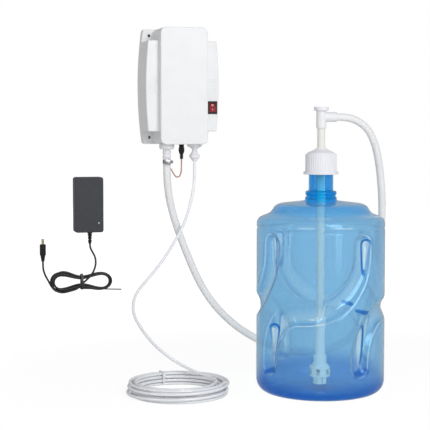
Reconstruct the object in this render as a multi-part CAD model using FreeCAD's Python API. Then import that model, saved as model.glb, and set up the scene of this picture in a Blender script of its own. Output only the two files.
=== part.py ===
import FreeCAD, Part
import math
import os

# A water pump box on a wall draws from a five-gallon bottle and feeds a thin delivery tube.
# Millimetres, +Z up. The origin is the centre of the bottle's foot, on the floor.
# The wall is the plane y = WALL_Y, and the pump box faces -Y.

V = FreeCAD.Vector
UP = V(0, 0, 1)
DOWN = V(0, 0, -1)
RIGHT = V(1, 0, 0)
BACK = V(0, 1, 0)

# Clearances
RUNNING = 0.05
LOOSE = 0.3

# Wall and pump box
WALL_Y = 165.0
BOX_X = -278.5
BOX_Z = 521.6
BOX_WIDTH = 157.0
BOX_HEIGHT = 243.0
BOX_WALL = 2.5
BASE_DEPTH = 20.0
BASE_LEDGE = 1.0
COVER_WIDTH = 101.0
COVER_DEPTH = 80.0
COVER_CORNER = 12.0
COVER_EDGE = 2.0
POD_DEPTH = 63.0
POD_BOTTOM = 27.0
POD_TOP = BOX_HEIGHT - 27.0
POD_WIDTH = (BOX_WIDTH - COVER_WIDTH) / 2
POD_BOW = 5.0
POD_RIBS = 9
POD_RIB_STEP = 3.7
POD_RIB_R = 1.1
POD_RIB_STAND = 0.6
POD_RIB_INSET = 3.0
EAR_CORNER = 6.0
EAR_HOLE_R = 2.75
EAR_HOLE_X = COVER_WIDTH / 2 + POD_WIDTH / 2 - 6.5
EAR_HOLE_LOW = 14.1
EAR_HOLE_HIGH = BOX_HEIGHT - 13.9
EAR_BOSS_R = 6.5
SCREW_HEAD_R = 3.5
SCREW_HEAD_DEPTH = 2.0
SCREW_SHANK_R = 1.6
SCREW_BOSS_R = 4.5
SCREW_X = COVER_WIDTH / 2 - 8.5
SCREW_INSET = 30.0
SCREW_LENGTH = 34.0

# Rocker switch on the right pod
SWITCH_X = COVER_WIDTH / 2 + POD_WIDTH / 2 - 0.2
SWITCH_Z = 77.0
BEZEL_WIDTH = POD_WIDTH * 0.75
BEZEL_HEIGHT = 27.0
BEZEL_STAND = 2.0
SWITCH_BODY_WIDTH = BEZEL_WIDTH - 3.4
SWITCH_BODY_HEIGHT = 24.0
SWITCH_BODY_DEPTH = 17.0
ROCKER_WIDTH = BEZEL_WIDTH - 8.4
ROCKER_R = 9.6
ROCKER_FACE = 3.4
ROCKER_TILT = 12.0
ROCKER_PIN_R = 1.5

# Fittings under the box, at FITTING_T in front of the wall
FITTING_T = 70.0
INLET_X = 19.0 - COVER_WIDTH / 2
OUTLET_X = COVER_WIDTH / 2 - 21.5
FLOAT_PLUG_X = 0.5
DC_SOCKET_X = INLET_X + 10.0
DC_SOCKET_T = 42.0
DC_SOCKET_BORE_R = 3.2
SOCKET_DEPTH = 14.0
FLANGE_R = 15.8
FLANGE_HEIGHT = 10.5
BARB_R = 7.6
BARB_BEAD_R = 9.0
BARB_LENGTH = 20.5
HOSE_R = 7.95
CLAMP_WALL = 1.1
CLAMP_HEIGHT = 8.5
CLAMP_DROP = 1.4
TUBE_R = 3.175
OUTLET_FLANGE_HEIGHT = 8.0
OUTLET_NECK_R = 5.4
OUTLET_NECK_LENGTH = 8.5
NUT_R = 11.0
NUT_HEIGHT = 19.5
NUT_FLUTES = 12

# Float-switch plug and lead
PLUG_R = 5.4
PLUG_LENGTH = 20.5
LEAD_RELIEF_R = 3.9
LEAD_RELIEF_LENGTH = 10.5
LEAD_R = 1.4

# Pump and motor inside the box
PUMP_T = 58.0
MOTOR_R = 29.0
MOTOR_WALL = 1.6
MOTOR_BOTTOM = 120.0
MOTOR_LENGTH = 74.0
END_BELL_HEIGHT = 9.0
SHAFT_R = 2.5
ARMATURE_R = 20.0
ARMATURE_LENGTH = 48.0
BEARING_R = 8.0
BEARING_HEIGHT = 5.0
CAM_R = 8.0
CAM_THROW = 2.0
CAM_HEIGHT = 9.0
DRIVE_R = 32.0
DRIVE_WALL = 3.0
DRIVE_HEIGHT = 32.0
DIAPHRAGM_HEIGHT = 3.0
VALVE_PLATE_HEIGHT = 8.0
HEAD_HEIGHT = 28.0
HEAD_WIDTH = COVER_WIDTH - 23.0
HEAD_DEPTH = 54.0
PIPE_R = 7.0
PIPE_BORE_R = 4.5
PRESSURE_R = 10.0
PRESSURE_HEIGHT = 18.0
FOOT_PLATE_WIDTH = 70.0
FOOT_PLATE_HEIGHT = 92.0
FOOT_PLATE_THICK = 3.0
FOOT_PLATE_T = 9.0
SADDLE_WIDTH = 40.0
MOUNT_R = 6.0
MOUNT_INSET_X = 9.0
MOUNT_INSET_Z = 12.0
BOARD_WIDTH = 70.0
BOARD_HEIGHT = 66.0
BOARD_THICK = 1.6
BOARD_T = 10.0
BOARD_LOW = BOX_HEIGHT - 77.0

# Bottle
BODY_R = 135.0
BOTTLE_WALL = 2.0
FOOT_CORNER_R = 27.0
FOOT_PAD_R = 24.0
FOOT_RECESS = 3.0
FOOT_RECESS_R = BODY_R - 47.0
WALL_TOP = 344.0
WAIST_R = BODY_R - 2.5
LEDGE_LOW = WALL_TOP + 6.0
LEDGE_HIGH = WALL_TOP + 13.0
SHOULDER_R = BODY_R - 12.0
SHOULDER_Z = LEDGE_HIGH + 14.8
SHOULDER_BEND = (BODY_R - 3.8, LEDGE_HIGH + 9.8)
FLARE_R = BODY_R - 23.0
FLARE_Z = LEDGE_HIGH + 19.0
FLARE_BEND = (BODY_R - 29.7, LEDGE_HIGH + 23.3)
FLARE_TOP_R = BODY_R - 34.5
FLARE_TOP_Z = LEDGE_HIGH + 30.5
DOME_BEND = (BODY_R - 40.0, LEDGE_HIGH + 37.0)
DOME_R = BODY_R - 49.0
DOME_Z = LEDGE_HIGH + 40.5
NECK_R = 25.75
NECK_WALL = 2.0
NECK_LOW = LEDGE_HIGH + 47.0
NECK_BEAD_R = 33.0
NECK_RING_HEIGHT = 20.0
NECK_TOP = NECK_LOW + 83.0
GRIP_COUNT = 4
GRIP_R = 26.0
GRIP_DEPTH = 14.0
GRIP_Z = WALL_TOP - 164.0
GRIP_TURN = 249.0
# A grip's curve from its low end to its high end: degrees round the bottle and rise from GRIP_Z
GRIP_CURVE = [
    (-51.7, -109.0), (-50.8, -74.0), (-43.8, -35.0), (-29.0, -2.0), (-7.0, -0.5),
    (7.0, 6.0), (23.0, 29.0), (36.3, 68.0), (41.2, 103.0), (41.4, 137.5),
]

# Bottle cap, slides on the wand tube
CAP_FLANGE_R = 37.0
CAP_FLANGE_HEIGHT = 5.5
CAP_Z = NECK_LOW + 55.0
CAP_R = 32.5
CAP_RIB_STAND = 0.6
CAP_RIBS = 40
CAP_WALL = 2.4
CAP_SHOULDER = CAP_Z + 42.0
CAP_DOME_R = 30.5
CAP_DOME_TOP_R = 11.0
CAP_TOP = CAP_SHOULDER + 13.0
CAP_TRAVEL = 38.0

# Wand
WAND_R = 8.25
WAND_BORE_R = 6.4
WAND_TOP = 566.0
TEE_R = 10.6
TEE_LOW = 555.0
TEE_TOP = 592.0
ARM_Z = 578.8
ARM_R = 10.3
ARM_BORE_R = 4.75
ARM_END = 33.5
TEE_CAP_R = 15.4
TEE_CAP_HEIGHT = 8.0
TEE_DISH_R = 11.5
TEE_DISH_DEPTH = 4.5
COLLAR_LOW = 133.0
COLLAR_HEIGHT = 23.0
COLLAR_R = 12.5
LATCH_REACH = 26.0
PROBE_R = 10.2
PROBE_BORE_R = 7.6
SLEEVE_R = 13.7
SLEEVE_LOW = 56.0
SLEEVE_HEIGHT = 20.0
GUARD_R = 21.5
GUARD_WALL = 2.0
GUARD_LOW = 31.0
GUARD_HEIGHT = 22.0
GUARD_WINDOWS = 6
GUARD_WINDOW_WIDTH = 8.0
STEM_R = 5.5
FLOAT_R = 17.0
FLOAT_HEIGHT = 9.0
FLOAT_TRAVEL = 7.5
STRAINER_R = 14.2
STRAINER_LOW = 15.0
STRAINER_SLOTS = 8

# Power adapter, standing apart on the left
ADAPTER_X = -471.0
ADAPTER_Z = 337.0
ADAPTER_WIDTH = 60.0
ADAPTER_HEIGHT = 116.0
ADAPTER_FRONT = 20.0
ADAPTER_BACK = 10.0
ADAPTER_CORNER = 5.0
ADAPTER_WALL = 2.2
BLADE_LENGTH = 17.0
BLADE_WIDTH = 6.3
BLADE_THICK = 1.5
BLADE_GAP = 12.7
LAMP_R = 1.5
LAMP_X = 20.0
LAMP_Z = 20.0
CORD_R = 2.0
CORD_RELIEF_R = 5.2
CORD_RELIEF_TIP_R = 3.4
CORD_RELIEF_LENGTH = 24.0
CORD_EXIT_X = 3.0
DC_PLUG_R = 6.4
DC_PLUG_LENGTH = 22.0
DC_PLUG_TAIL = 14.0
DC_BARREL_R = 2.75
DC_BARREL_LENGTH = 11.0
DC_BARREL_BORE_R = 1.25

# Delivery coil
COIL_X = -299.0
COIL_Y = 45.0
COIL_INNER_R = 89.0
COIL_LAYERS = 4
COIL_LAYER_TURNS = 2.125
COIL_PITCH = 8.4
COIL_STEP = 7.5
COIL_START_DEG = -25.0
COIL_LEAD_IN = 10.0
TIE_DEG = 97.0
TIE_WIDTH = 3.0
TIE_THICK = 0.7

# Hank of the adapter's lead
HANK_X = -486.0
HANK_Z = 232.6
HANK_HALF_RUN = 44.0
HANK_END_R = 22.0
HANK_WAIST = 9.0
HANK_LAYERS = 2
HANK_LAYER_TURNS = 2.069
HANK_PITCH = 4.9
HANK_STEP = 5.0
HANK_START = 0.2228
HANK_LEAD_IN = 3.2
HANK_LEAD_TURN = 0.1
HANK_TIE_WIDTH = 4.5
HANK_TIE_THICK = 1.0
HANK_TAIL = 84.0
HANK_TAIL_DEG = 3.0

# Places worked out from the sizes above
POD_FRONT_T = BASE_DEPTH + POD_DEPTH
ADAPTER_Y = WALL_Y - BLADE_LENGTH
ADAPTER_SPLIT = ADAPTER_Y - ADAPTER_BACK
CORD_HOLE_R = CORD_RELIEF_R - 1.0
CORD_Y = ADAPTER_Y - (ADAPTER_FRONT + ADAPTER_BACK) / 2
HOSE_TOP = BOX_Z - FLANGE_HEIGHT - BARB_LENGTH
NUT_TOP = BOX_Z - OUTLET_FLANGE_HEIGHT - OUTLET_NECK_LENGTH
NUT_LOW = NUT_TOP - NUT_HEIGHT
LEAD_TOP = BOX_Z - PLUG_LENGTH - LEAD_RELIEF_LENGTH
CORD_TOP = ADAPTER_Z - CORD_RELIEF_LENGTH


def box_point(x, t, z):
    """A point of the pump box: x from its centre, t out from the wall, z up from its bottom."""
    return V(BOX_X + x, WALL_Y - t, BOX_Z + z)


# Routes of the free cords, points chosen by hand
HOSE_ROUTE = [
    V(BOX_X + INLET_X, WALL_Y - FITTING_T, HOSE_TOP),
    V(BOX_X + INLET_X, WALL_Y - FITTING_T, 459.0),
    V(-305.5, 99.5, 415.0),
    V(-292.5, 108.0, 367.0),
    V(-265.0, 120.0, 297.0),
    V(-222.0, 133.0, 205.0),
    V(-163.0, 148.0, 136.0),
    V(-88.0, 166.0, 84.0),
    V(-8.0, 178.0, 52.0),
    V(72.0, 176.0, 47.0),
    V(133.0, 153.0, 78.0),
    V(161.0, 118.0, 145.0),
    V(166.0, 84.0, 225.0),
    V(160.0, 56.0, 305.0),
    V(154.0, 33.0, 382.0),
    V(144.0, 20.0, 450.0),
    V(132.5, 12.0, 501.0),
    V(119.0, 6.0, 535.0),
    V(102.0, 2.0, 557.5),
    V(79.5, 0.4, 572.0),
    V(55.5, 0.0, ARM_Z),
    V(ARM_END, 0.0, ARM_Z),
]
TUBE_ROUTE = [
    V(BOX_X + OUTLET_X, WALL_Y - FITTING_T, NUT_LOW),
    V(BOX_X + OUTLET_X, WALL_Y - FITTING_T, 463.0),
    V(-251.3, 92.8, 434.0),
    V(-258.0, 91.0, 402.0),
    V(-270.0, 89.5, 362.0),
    V(-290.0, 89.0, 323.0),
    V(-321.0, 92.0, 274.0),
    V(-355.0, 98.0, 233.0),
    V(-379.0, 106.0, 203.0),
    V(-381.0, 115.0, 163.0),
    V(-358.0, 124.0, 124.0),
    V(-330.0, 132.0, 90.0),
    V(-298.0, 132.0, 62.0),
    V(-268.0, 117.0, 43.0),
    V(-243.0, 93.0, 32.0),
    V(-222.5, 64.0, 27.3),
]
LEAD_ROUTE = [
    V(BOX_X + FLOAT_PLUG_X, WALL_Y - FITTING_T, LEAD_TOP),
    V(-278.2, 95.0, 476.0),
    V(-278.8, 95.0, 462.0),
    V(-282.5, 95.0, 453.0),
    V(-289.5, 95.3, 452.0),
    V(-295.0, 96.0, 459.0),
    V(BOX_X + INLET_X + 11.0, 96.6, 467.5),
    V(BOX_X + INLET_X + 6.5, 96.8, 473.0),
]
DC_ROUTE = [
    V(ADAPTER_X + CORD_EXIT_X, CORD_Y, CORD_TOP),
    V(ADAPTER_X + CORD_EXIT_X, CORD_Y, 304.5),
    V(-463.0, 131.5, 295.0),
    V(-457.5, 129.0, 284.5),
    V(-456.5, 126.5, 272.0),
    V(-459.5, 125.0, 259.5),
    V(-465.5, 124.3, 248.5),
    V(-474.5, 124.0, 239.0),
    V(-486.5, 124.0, 229.0),
]
PLUG_LEAD_ROUTE = [
    V(-562.5, 135.0, 247.5),
    V(-566.3, 134.0, 258.0),
    V(-567.5, 133.0, 268.0),
    V(-567.5, 133.0, 277.5),
]


# Plain solids
def block(x0, x1, y0, y1, z0, z1):
    return Part.makeBox(x1 - x0, y1 - y0, z1 - z0, V(x0, y0, z0))


def rod(radius, length, foot, axis=UP):
    return Part.makeCylinder(radius, length, foot, axis)


def cone(low_r, high_r, length, foot, axis=UP):
    return Part.makeCone(low_r, high_r, length, foot, axis)


def ring(outer_r, inner_r, length, foot, axis=UP):
    return rod(outer_r, length, foot, axis).cut(rod(inner_r, length, foot, axis))


def revolve_profile(points, centre):
    """A solid turned about the vertical line through centre, from (radius, height) points."""
    corners = [V(centre.x + r, centre.y, centre.z + z) for r, z in points]
    outline = Part.makePolygon(corners + [corners[0]])
    return Part.Face(outline).revolve(centre, UP, 360)


def edges_along(shape, axis):
    """The straight edges of a shape that run along an axis."""
    found = []
    for edge in shape.Edges:
        if edge.Curve.TypeId == "Part::GeomLine" and abs(edge.Curve.Direction.dot(axis)) > 0.999:
            found.append(edge)
    return found


def rims_at(shape, z):
    """The closed edges of a shape that lie at one height."""
    return [e for e in shape.Edges if e.Closed and abs(e.CenterOfMass.z - z) < 0.01]


def rounded_block(x0, x1, y0, y1, z0, z1, radius, axis):
    plain = block(x0, x1, y0, y1, z0, z1)
    return plain.makeFillet(radius, edges_along(plain, axis))


def fuse_all(shapes):
    return shapes[0].multiFuse(shapes[1:]).removeSplitter()


def cut_all(shape, tools):
    return shape.cut(Part.Compound(tools))


def around(shape, count, centre, axis=UP):
    """Copies of a shape, evenly spaced round an axis."""
    copies = []
    for i in range(count):
        turned = shape.copy()
        turned.rotate(centre, axis, 360.0 * i / count)
        copies.append(turned)
    return copies


# Cords
def rounded_route(points, name):
    """Straight runs joined by tangent arcs, each arc as large as its two runs allow."""
    edges = []
    radii = []
    start = points[0]
    for before, corner, after in zip(points, points[1:], points[2:]):
        arriving = corner - before
        leaving = after - corner
        trim = 0.45 * min(arriving.Length, leaving.Length)
        arriving.normalize()
        leaving.normalize()
        half_turn = arriving.getAngle(leaving) / 2
        radius = trim / math.tan(half_turn)
        inward = (leaving - arriving).normalize()
        centre = corner + inward * (radius / math.cos(half_turn))
        arc_start = corner - arriving * trim
        arc_end = corner + leaving * trim
        edges.append(Part.LineSegment(start, arc_start).toShape())
        edges.append(Part.Arc(arc_start, centre - inward * radius, arc_end).toShape())
        radii.append(round(radius, 1))
        start = arc_end
    edges.append(Part.LineSegment(start, points[-1]).toShape())
    print(name, "bend radii", radii)
    return Part.Wire(edges)


def sweep(wire, radius, start, direction, name):
    section = Part.Face(Part.Wire(Part.makeCircle(radius, start, direction)))
    tube = wire.makePipe(section)
    expected = math.pi * radius * radius * wire.Length
    print(name, "length", round(wire.Length, 1), "volume ratio", round(tube.Volume / expected, 5))
    return tube


def cord_tube(points, radius, name):
    wire = rounded_route(points, name)
    return sweep(wire, radius, points[0], points[1] - points[0], name)


def biarc(start, start_way, end, end_way):
    """Two tangent arcs from start to end that leave and arrive along the given ways."""
    chord = end - start
    ways = start_way + end_way
    a = 2 * (1 - start_way.dot(end_way))
    b = 2 * chord.dot(ways)
    c = -chord.dot(chord)
    if abs(a) < 1e-9:
        reach = -c / b
    else:
        reach = (-b + math.sqrt(b * b - 4 * a * c)) / (2 * a)
    first = start + start_way * reach
    last = end - end_way * reach
    joint = (first + last) * 0.5
    return [arc_from(start, start_way, joint), arc_from(joint, (last - first).normalize(), end)]


def arc_from(start, way, end):
    """The arc from start to end that leaves start along way."""
    chord = end - start
    length = chord.Length
    chord.normalize()
    across = way - chord * way.dot(chord)
    if across.Length < 1e-7:
        return Part.LineSegment(start, end).toShape()
    across.normalize()
    half = way.getAngle(chord)
    height = length / 2 * math.tan(half / 2)
    middle = (start + end) * 0.5 + across * height
    return Part.Arc(start, middle, end).toShape()


def way_at(place, turn):
    step = 1e-4
    return (place(turn + step) - place(turn - step)).normalize()


def wound_wire(place, turns, spans_per_turn, stub):
    """Biarcs along a winding, with a straight stub at each end."""
    spans = round(turns * spans_per_turn)
    marks = [turns * i / spans for i in range(spans + 1)]
    edges = [Part.LineSegment(place(0) - way_at(place, 0) * stub, place(0)).toShape()]
    for low, high in zip(marks, marks[1:]):
        edges += biarc(place(low), way_at(place, low), place(high), way_at(place, high))
    end = place(turns)
    edges.append(Part.LineSegment(end, end + way_at(place, turns) * stub).toShape())
    return Part.Wire(edges)


def least_gap(place, turns, radius, name):
    """The least distance between two stretches of a winding that are half a turn or more apart."""
    per_turn = 48
    points = [place(turns * i / round(turns * per_turn)) for i in range(round(turns * per_turn) + 1)]
    least = 1e9
    for i, point in enumerate(points):
        for other in points[i + per_turn // 2:]:
            least = min(least, (point - other).Length)
    print(name, "least gap to itself", round(least - 2 * radius, 2))


def layer_and_inset(turn, layer_turns, layers, pitch):
    """Height in layers and inset of a winding that spirals in and out again, layer by layer."""
    inset = layer_turns - abs(turn % (2 * layer_turns) - layer_turns)
    climbed = 0.0
    for k in range(1, layers):
        climbed += min(1.0, max(0.0, (turn - k * layer_turns) * 2 + 0.5))
    return climbed, inset * pitch


# Pump box
def side_reach(z):
    """How far the bowed side lies from the box's centre line at one height."""
    half_pod = (POD_TOP - POD_BOTTOM) / 2
    bow_radius = (half_pod ** 2 + POD_BOW ** 2) / (2 * POD_BOW)
    above = z - (POD_BOTTOM + POD_TOP) / 2
    return BOX_WIDTH / 2 - bow_radius + math.sqrt(bow_radius ** 2 - above ** 2)


def box_outline(inset, t0, t1):
    """The box between two depths: both sides bow outward, and the corners are rounded."""
    low = inset
    high = BOX_HEIGHT - inset
    corner = side_reach(0) - inset
    bulge = BOX_WIDTH / 2 - inset
    middle = BOX_HEIGHT / 2
    places = ((-corner, low), (corner, low), (corner, high), (-corner, high))
    corners = [box_point(x, t0, z) for x, z in places]
    edges = [
        Part.LineSegment(corners[0], corners[1]).toShape(),
        Part.Arc(corners[1], box_point(bulge, t0, middle), corners[2]).toShape(),
        Part.LineSegment(corners[2], corners[3]).toShape(),
        Part.Arc(corners[3], box_point(-bulge, t0, middle), corners[0]).toShape(),
    ]
    plain = Part.Face(Part.Wire(edges)).extrude(V(0, t0 - t1, 0))
    return plain.makeFillet(EAR_CORNER - min(inset, EAR_CORNER / 2), edges_along(plain, BACK))


def ear_places():
    return [(x, z) for x in (-EAR_HOLE_X, EAR_HOLE_X) for z in (EAR_HOLE_LOW, EAR_HOLE_HIGH)]


def screw_places():
    low = SCREW_INSET
    high = BOX_HEIGHT - SCREW_INSET
    return [(x, z) for x in (-SCREW_X, SCREW_X) for z in (low, high)]


def standoff_places():
    x = BOARD_WIDTH / 2 - 4
    return [(sx * x, BOARD_LOW + z) for sx in (-1, 1) for z in (4, BOARD_HEIGHT - 4)]


def mount_places():
    x = FOOT_PLATE_WIDTH / 2 - MOUNT_INSET_X
    low = MOTOR_BOTTOM - FOOT_PLATE_HEIGHT + MOUNT_INSET_Z
    return [(sx * x, low + z) for sx in (-1, 1) for z in (0, FOOT_PLATE_HEIGHT - 2 * MOUNT_INSET_Z)]


def make_rear_base():
    """Shallow box against the wall, open behind the cover and the pods, with an ear at each corner."""
    front_inside = BASE_DEPTH - BOX_WALL
    shell = box_outline(0, 0, BASE_DEPTH).cut(box_outline(BOX_WALL, BOX_WALL, front_inside))
    window_inset = BOX_WALL + BASE_LEDGE
    windows = [cover_block(window_inset, front_inside, BASE_DEPTH)]
    for side in (-1, 1):
        window = pod_face(window_inset, side).extrude(V(0, -BOX_WALL, 0))
        window.translate(V(0, -front_inside, 0))
        windows.append(window)
    shell = cut_all(shell, windows)
    bosses = []
    for x, z in ear_places():
        bosses.append(rod(EAR_BOSS_R, BASE_DEPTH - BOX_WALL, box_point(x, BASE_DEPTH, z), BACK))
    for x, z in screw_places():
        bosses.append(rod(SCREW_BOSS_R, BASE_DEPTH - BOX_WALL, box_point(x, BASE_DEPTH, z), BACK))
    for x, z in standoff_places():
        bosses.append(rod(3.0, BOARD_T - BOX_WALL, box_point(x, BOARD_T, z), BACK))
    base = fuse_all([shell] + bosses)
    holes = []
    for x, z in ear_places():
        holes.append(rod(EAR_HOLE_R, BASE_DEPTH, box_point(x, BASE_DEPTH, z), BACK))
    for x, z in screw_places():
        holes.append(rod(SCREW_SHANK_R, BASE_DEPTH, box_point(x, BASE_DEPTH, z), BACK))
        holes.append(rod(SCREW_HEAD_R, SCREW_HEAD_DEPTH, box_point(x, SCREW_HEAD_DEPTH, z), BACK))
    return cut_all(base, holes)


def cover_block(inset, t0, t1):
    return rounded_block(
        BOX_X - COVER_WIDTH / 2 + inset, BOX_X + COVER_WIDTH / 2 - inset,
        WALL_Y - t1, WALL_Y - t0,
        BOX_Z + inset, BOX_Z + BOX_HEIGHT - inset,
        COVER_CORNER - inset, BACK,
    )


def fitting_point(x, z=0.0):
    return box_point(x, FITTING_T, z)


def make_front_cover():
    """Deep cover over the pump, open at the back, with holes for the fittings in its floor."""
    front_t = BASE_DEPTH + COVER_DEPTH
    outer = cover_block(0, BASE_DEPTH, front_t)
    rim = [e for e in outer.Edges if abs(e.CenterOfMass.y - (WALL_Y - front_t)) < 0.01]
    outer = outer.makeFillet(COVER_EDGE, rim)
    shell = outer.cut(cover_block(BOX_WALL, BASE_DEPTH, front_t - BOX_WALL))
    bosses = []
    boss_length = SCREW_LENGTH - BASE_DEPTH + 4
    for x, z in screw_places():
        post = rod(SCREW_BOSS_R, boss_length, box_point(x, BASE_DEPTH + boss_length, z), BACK)
        side = 1 if x > 0 else -1
        wall_x = side * (COVER_WIDTH / 2 - BOX_WALL / 2)
        web = block(
            BOX_X + min(x, wall_x), BOX_X + max(x, wall_x),
            WALL_Y - BASE_DEPTH - boss_length, WALL_Y - BASE_DEPTH,
            BOX_Z + z - 1, BOX_Z + z + 1,
        )
        bosses += [post, web]
    shell = fuse_all([shell] + bosses)
    holes = []
    for x, z in screw_places():
        depth = SCREW_LENGTH - BASE_DEPTH
        holes.append(rod(SCREW_SHANK_R, depth, box_point(x, SCREW_LENGTH, z), BACK))
    floor_cut = BOX_WALL
    for x in (INLET_X, OUTLET_X):
        holes.append(rod(PIPE_R, floor_cut, fitting_point(x)))
    holes.append(rod(PLUG_R, floor_cut, fitting_point(FLOAT_PLUG_X)))
    holes.append(rod(PLUG_R, floor_cut, box_point(DC_SOCKET_X, DC_SOCKET_T, 0)))
    return cut_all(shell, holes)


def pod_face(inset, side):
    """The pod's outline seen from the front: straight inside, bowed outside."""
    inner = side * (COVER_WIDTH / 2 + inset)
    outer = side * (BOX_WIDTH / 2 - POD_BOW - inset)
    bulge = side * (BOX_WIDTH / 2 - inset)
    low = POD_BOTTOM + inset
    high = POD_TOP - inset
    middle = (low + high) / 2
    corners = [box_point(x, 0, z) for x, z in ((inner, low), (outer, low), (outer, high), (inner, high))]
    edges = [
        Part.LineSegment(corners[0], corners[1]).toShape(),
        Part.Arc(corners[1], box_point(bulge, 0, middle), corners[2]).toShape(),
        Part.LineSegment(corners[2], corners[3]).toShape(),
        Part.LineSegment(corners[3], corners[0]).toShape(),
    ]
    return Part.Face(Part.Wire(edges))


def make_pod(side):
    """Side pod with a bowed outer wall, open at the back, with finger ribs across its front."""
    front_t = POD_FRONT_T
    solid = pod_face(0, side).extrude(V(0, -POD_DEPTH, 0))
    solid.translate(V(0, -BASE_DEPTH, 0))
    rounded = []
    for edge in solid.Edges:
        at = edge.CenterOfMass
        outside = side * (at.x - BOX_X) > COVER_WIDTH / 2 + 1
        on_front = abs(at.y - (WALL_Y - front_t)) < 0.01
        along_depth = abs(edge.tangentAt(edge.FirstParameter).y) > 0.999
        if outside and (on_front or along_depth):
            rounded.append(edge)
    solid = solid.makeFillet(COVER_EDGE, rounded)
    hollow = pod_face(BOX_WALL, side).extrude(V(0, -(POD_DEPTH - BOX_WALL), 0))
    hollow.translate(V(0, -BASE_DEPTH, 0))
    shell = solid.cut(hollow)
    ribs = []
    first = (POD_BOTTOM + POD_TOP) / 2 - POD_RIB_STEP * (POD_RIBS - 1) / 2
    rib_length = POD_WIDTH - 2 * POD_RIB_INSET - COVER_EDGE
    rib_x = COVER_WIDTH / 2 + POD_RIB_INSET
    if side < 0:
        rib_x = -rib_x - rib_length
    for i in range(POD_RIBS):
        foot = box_point(rib_x, front_t + POD_RIB_STAND - POD_RIB_R, first + i * POD_RIB_STEP)
        ribs.append(rod(POD_RIB_R, rib_length, foot, RIGHT))
    pod = fuse_all([shell] + ribs)
    if side > 0:
        pod = pod.cut(switch_box(SWITCH_BODY_WIDTH, SWITCH_BODY_HEIGHT, front_t - BOX_WALL, front_t))
    return pod


def switch_box(width, height, t0, t1):
    return block(
        BOX_X + SWITCH_X - width / 2, BOX_X + SWITCH_X + width / 2,
        WALL_Y - t1, WALL_Y - t0,
        BOX_Z + SWITCH_Z - height / 2, BOX_Z + SWITCH_Z + height / 2,
    )


ROCKER_PIVOT = box_point(SWITCH_X, POD_FRONT_T, SWITCH_Z)


def make_switch_housing():
    """Bezel and body of the rocker switch, with the well that the rocker turns in."""
    bezel = switch_box(BEZEL_WIDTH, BEZEL_HEIGHT, POD_FRONT_T, POD_FRONT_T + BEZEL_STAND)
    face_y = WALL_Y - POD_FRONT_T - BEZEL_STAND
    bezel = bezel.makeChamfer(0.8, [e for e in bezel.Edges if abs(e.CenterOfMass.y - face_y) < 0.01])
    body = switch_box(SWITCH_BODY_WIDTH, SWITCH_BODY_HEIGHT, POD_FRONT_T - SWITCH_BODY_DEPTH, POD_FRONT_T)
    well_width = ROCKER_WIDTH + 2 * LOOSE
    well_height = 2 * (ROCKER_R + LOOSE)
    well = switch_box(well_width, well_height, POD_FRONT_T - ROCKER_R, POD_FRONT_T + BEZEL_STAND)
    pin_length = SWITCH_BODY_WIDTH - 1.6
    pin_hole = rod(ROCKER_PIN_R + RUNNING, pin_length, ROCKER_PIVOT - RIGHT * (pin_length / 2), RIGHT)
    return fuse_all([bezel, body]).cut(well).cut(pin_hole)


def make_rocker():
    """Rocker with two flats that meet in a shallow ridge, on a pin through its middle."""
    width = ROCKER_WIDTH
    drum = rod(ROCKER_R, width, ROCKER_PIVOT - RIGHT * (width / 2), RIGHT)
    size = 4 * ROCKER_R
    for tilt in (-ROCKER_TILT, ROCKER_TILT):
        away = block(-size / 2, size / 2, -size, 0, -size / 2, size / 2)
        away.translate(V(0, -ROCKER_FACE, 0))
        away.rotate(V(0, 0, 0), RIGHT, tilt)
        away.translate(ROCKER_PIVOT)
        drum = drum.cut(away)
    back = block(-size / 2, size / 2, 4.0, size, -size / 2, size / 2)
    back.translate(ROCKER_PIVOT)
    drum = drum.cut(back)
    pin_length = SWITCH_BODY_WIDTH - 1.6 - 2 * LOOSE
    pin = rod(ROCKER_PIN_R, pin_length, ROCKER_PIVOT - RIGHT * (pin_length / 2), RIGHT)
    rocker = drum.fuse(pin).removeSplitter()
    rocker.rotate(ROCKER_PIVOT, RIGHT, -ROCKER_TILT)
    return rocker


def make_cover_screws():
    screws = []
    for x, z in screw_places():
        head = rod(SCREW_HEAD_R - 0.2, SCREW_HEAD_DEPTH - 0.4, box_point(x, SCREW_HEAD_DEPTH, z), BACK)
        shank = rod(SCREW_SHANK_R, SCREW_LENGTH - SCREW_HEAD_DEPTH, box_point(x, SCREW_LENGTH, z), BACK)
        screws.append(head.fuse(shank).removeSplitter())
    return Part.Compound(screws)


def make_socket(foot, bore_r):
    """Round panel socket that hangs in the floor of the cover, with a collar inside."""
    neck = rod(PLUG_R, BOX_WALL, foot)
    collar = rod(PLUG_R + 2.5, SOCKET_DEPTH, foot + UP * BOX_WALL)
    socket = neck.fuse(collar).removeSplitter()
    return socket.cut(rod(bore_r, SOCKET_DEPTH, foot))


# Fittings under the box
def make_inlet_fitting():
    """Flange and ribbed neck down to the hose."""
    foot = fitting_point(INLET_X)
    low = -FLANGE_HEIGHT - BARB_LENGTH
    bead_half = 3.2
    points = [
        (0, 0), (FLANGE_R, 0), (FLANGE_R, -FLANGE_HEIGHT + 3), (FLANGE_R - 2, -FLANGE_HEIGHT),
        (BARB_R, -FLANGE_HEIGHT),
    ]
    for middle in (-FLANGE_HEIGHT - 6.0, -FLANGE_HEIGHT - 15.5):
        points += [
            (BARB_R, middle + bead_half), (BARB_BEAD_R, middle + 1.2),
            (BARB_BEAD_R, middle - 1.2), (BARB_R, middle - bead_half),
        ]
    points += [(BARB_R, low), (0, low)]
    fitting = revolve_profile(points, foot)
    spigot = rod(PIPE_R - RUNNING, BOX_WALL, foot)
    bore = rod(PIPE_BORE_R, BOX_WALL - low, foot + UP * low)
    return fitting.fuse(spigot).removeSplitter().cut(bore)


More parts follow.
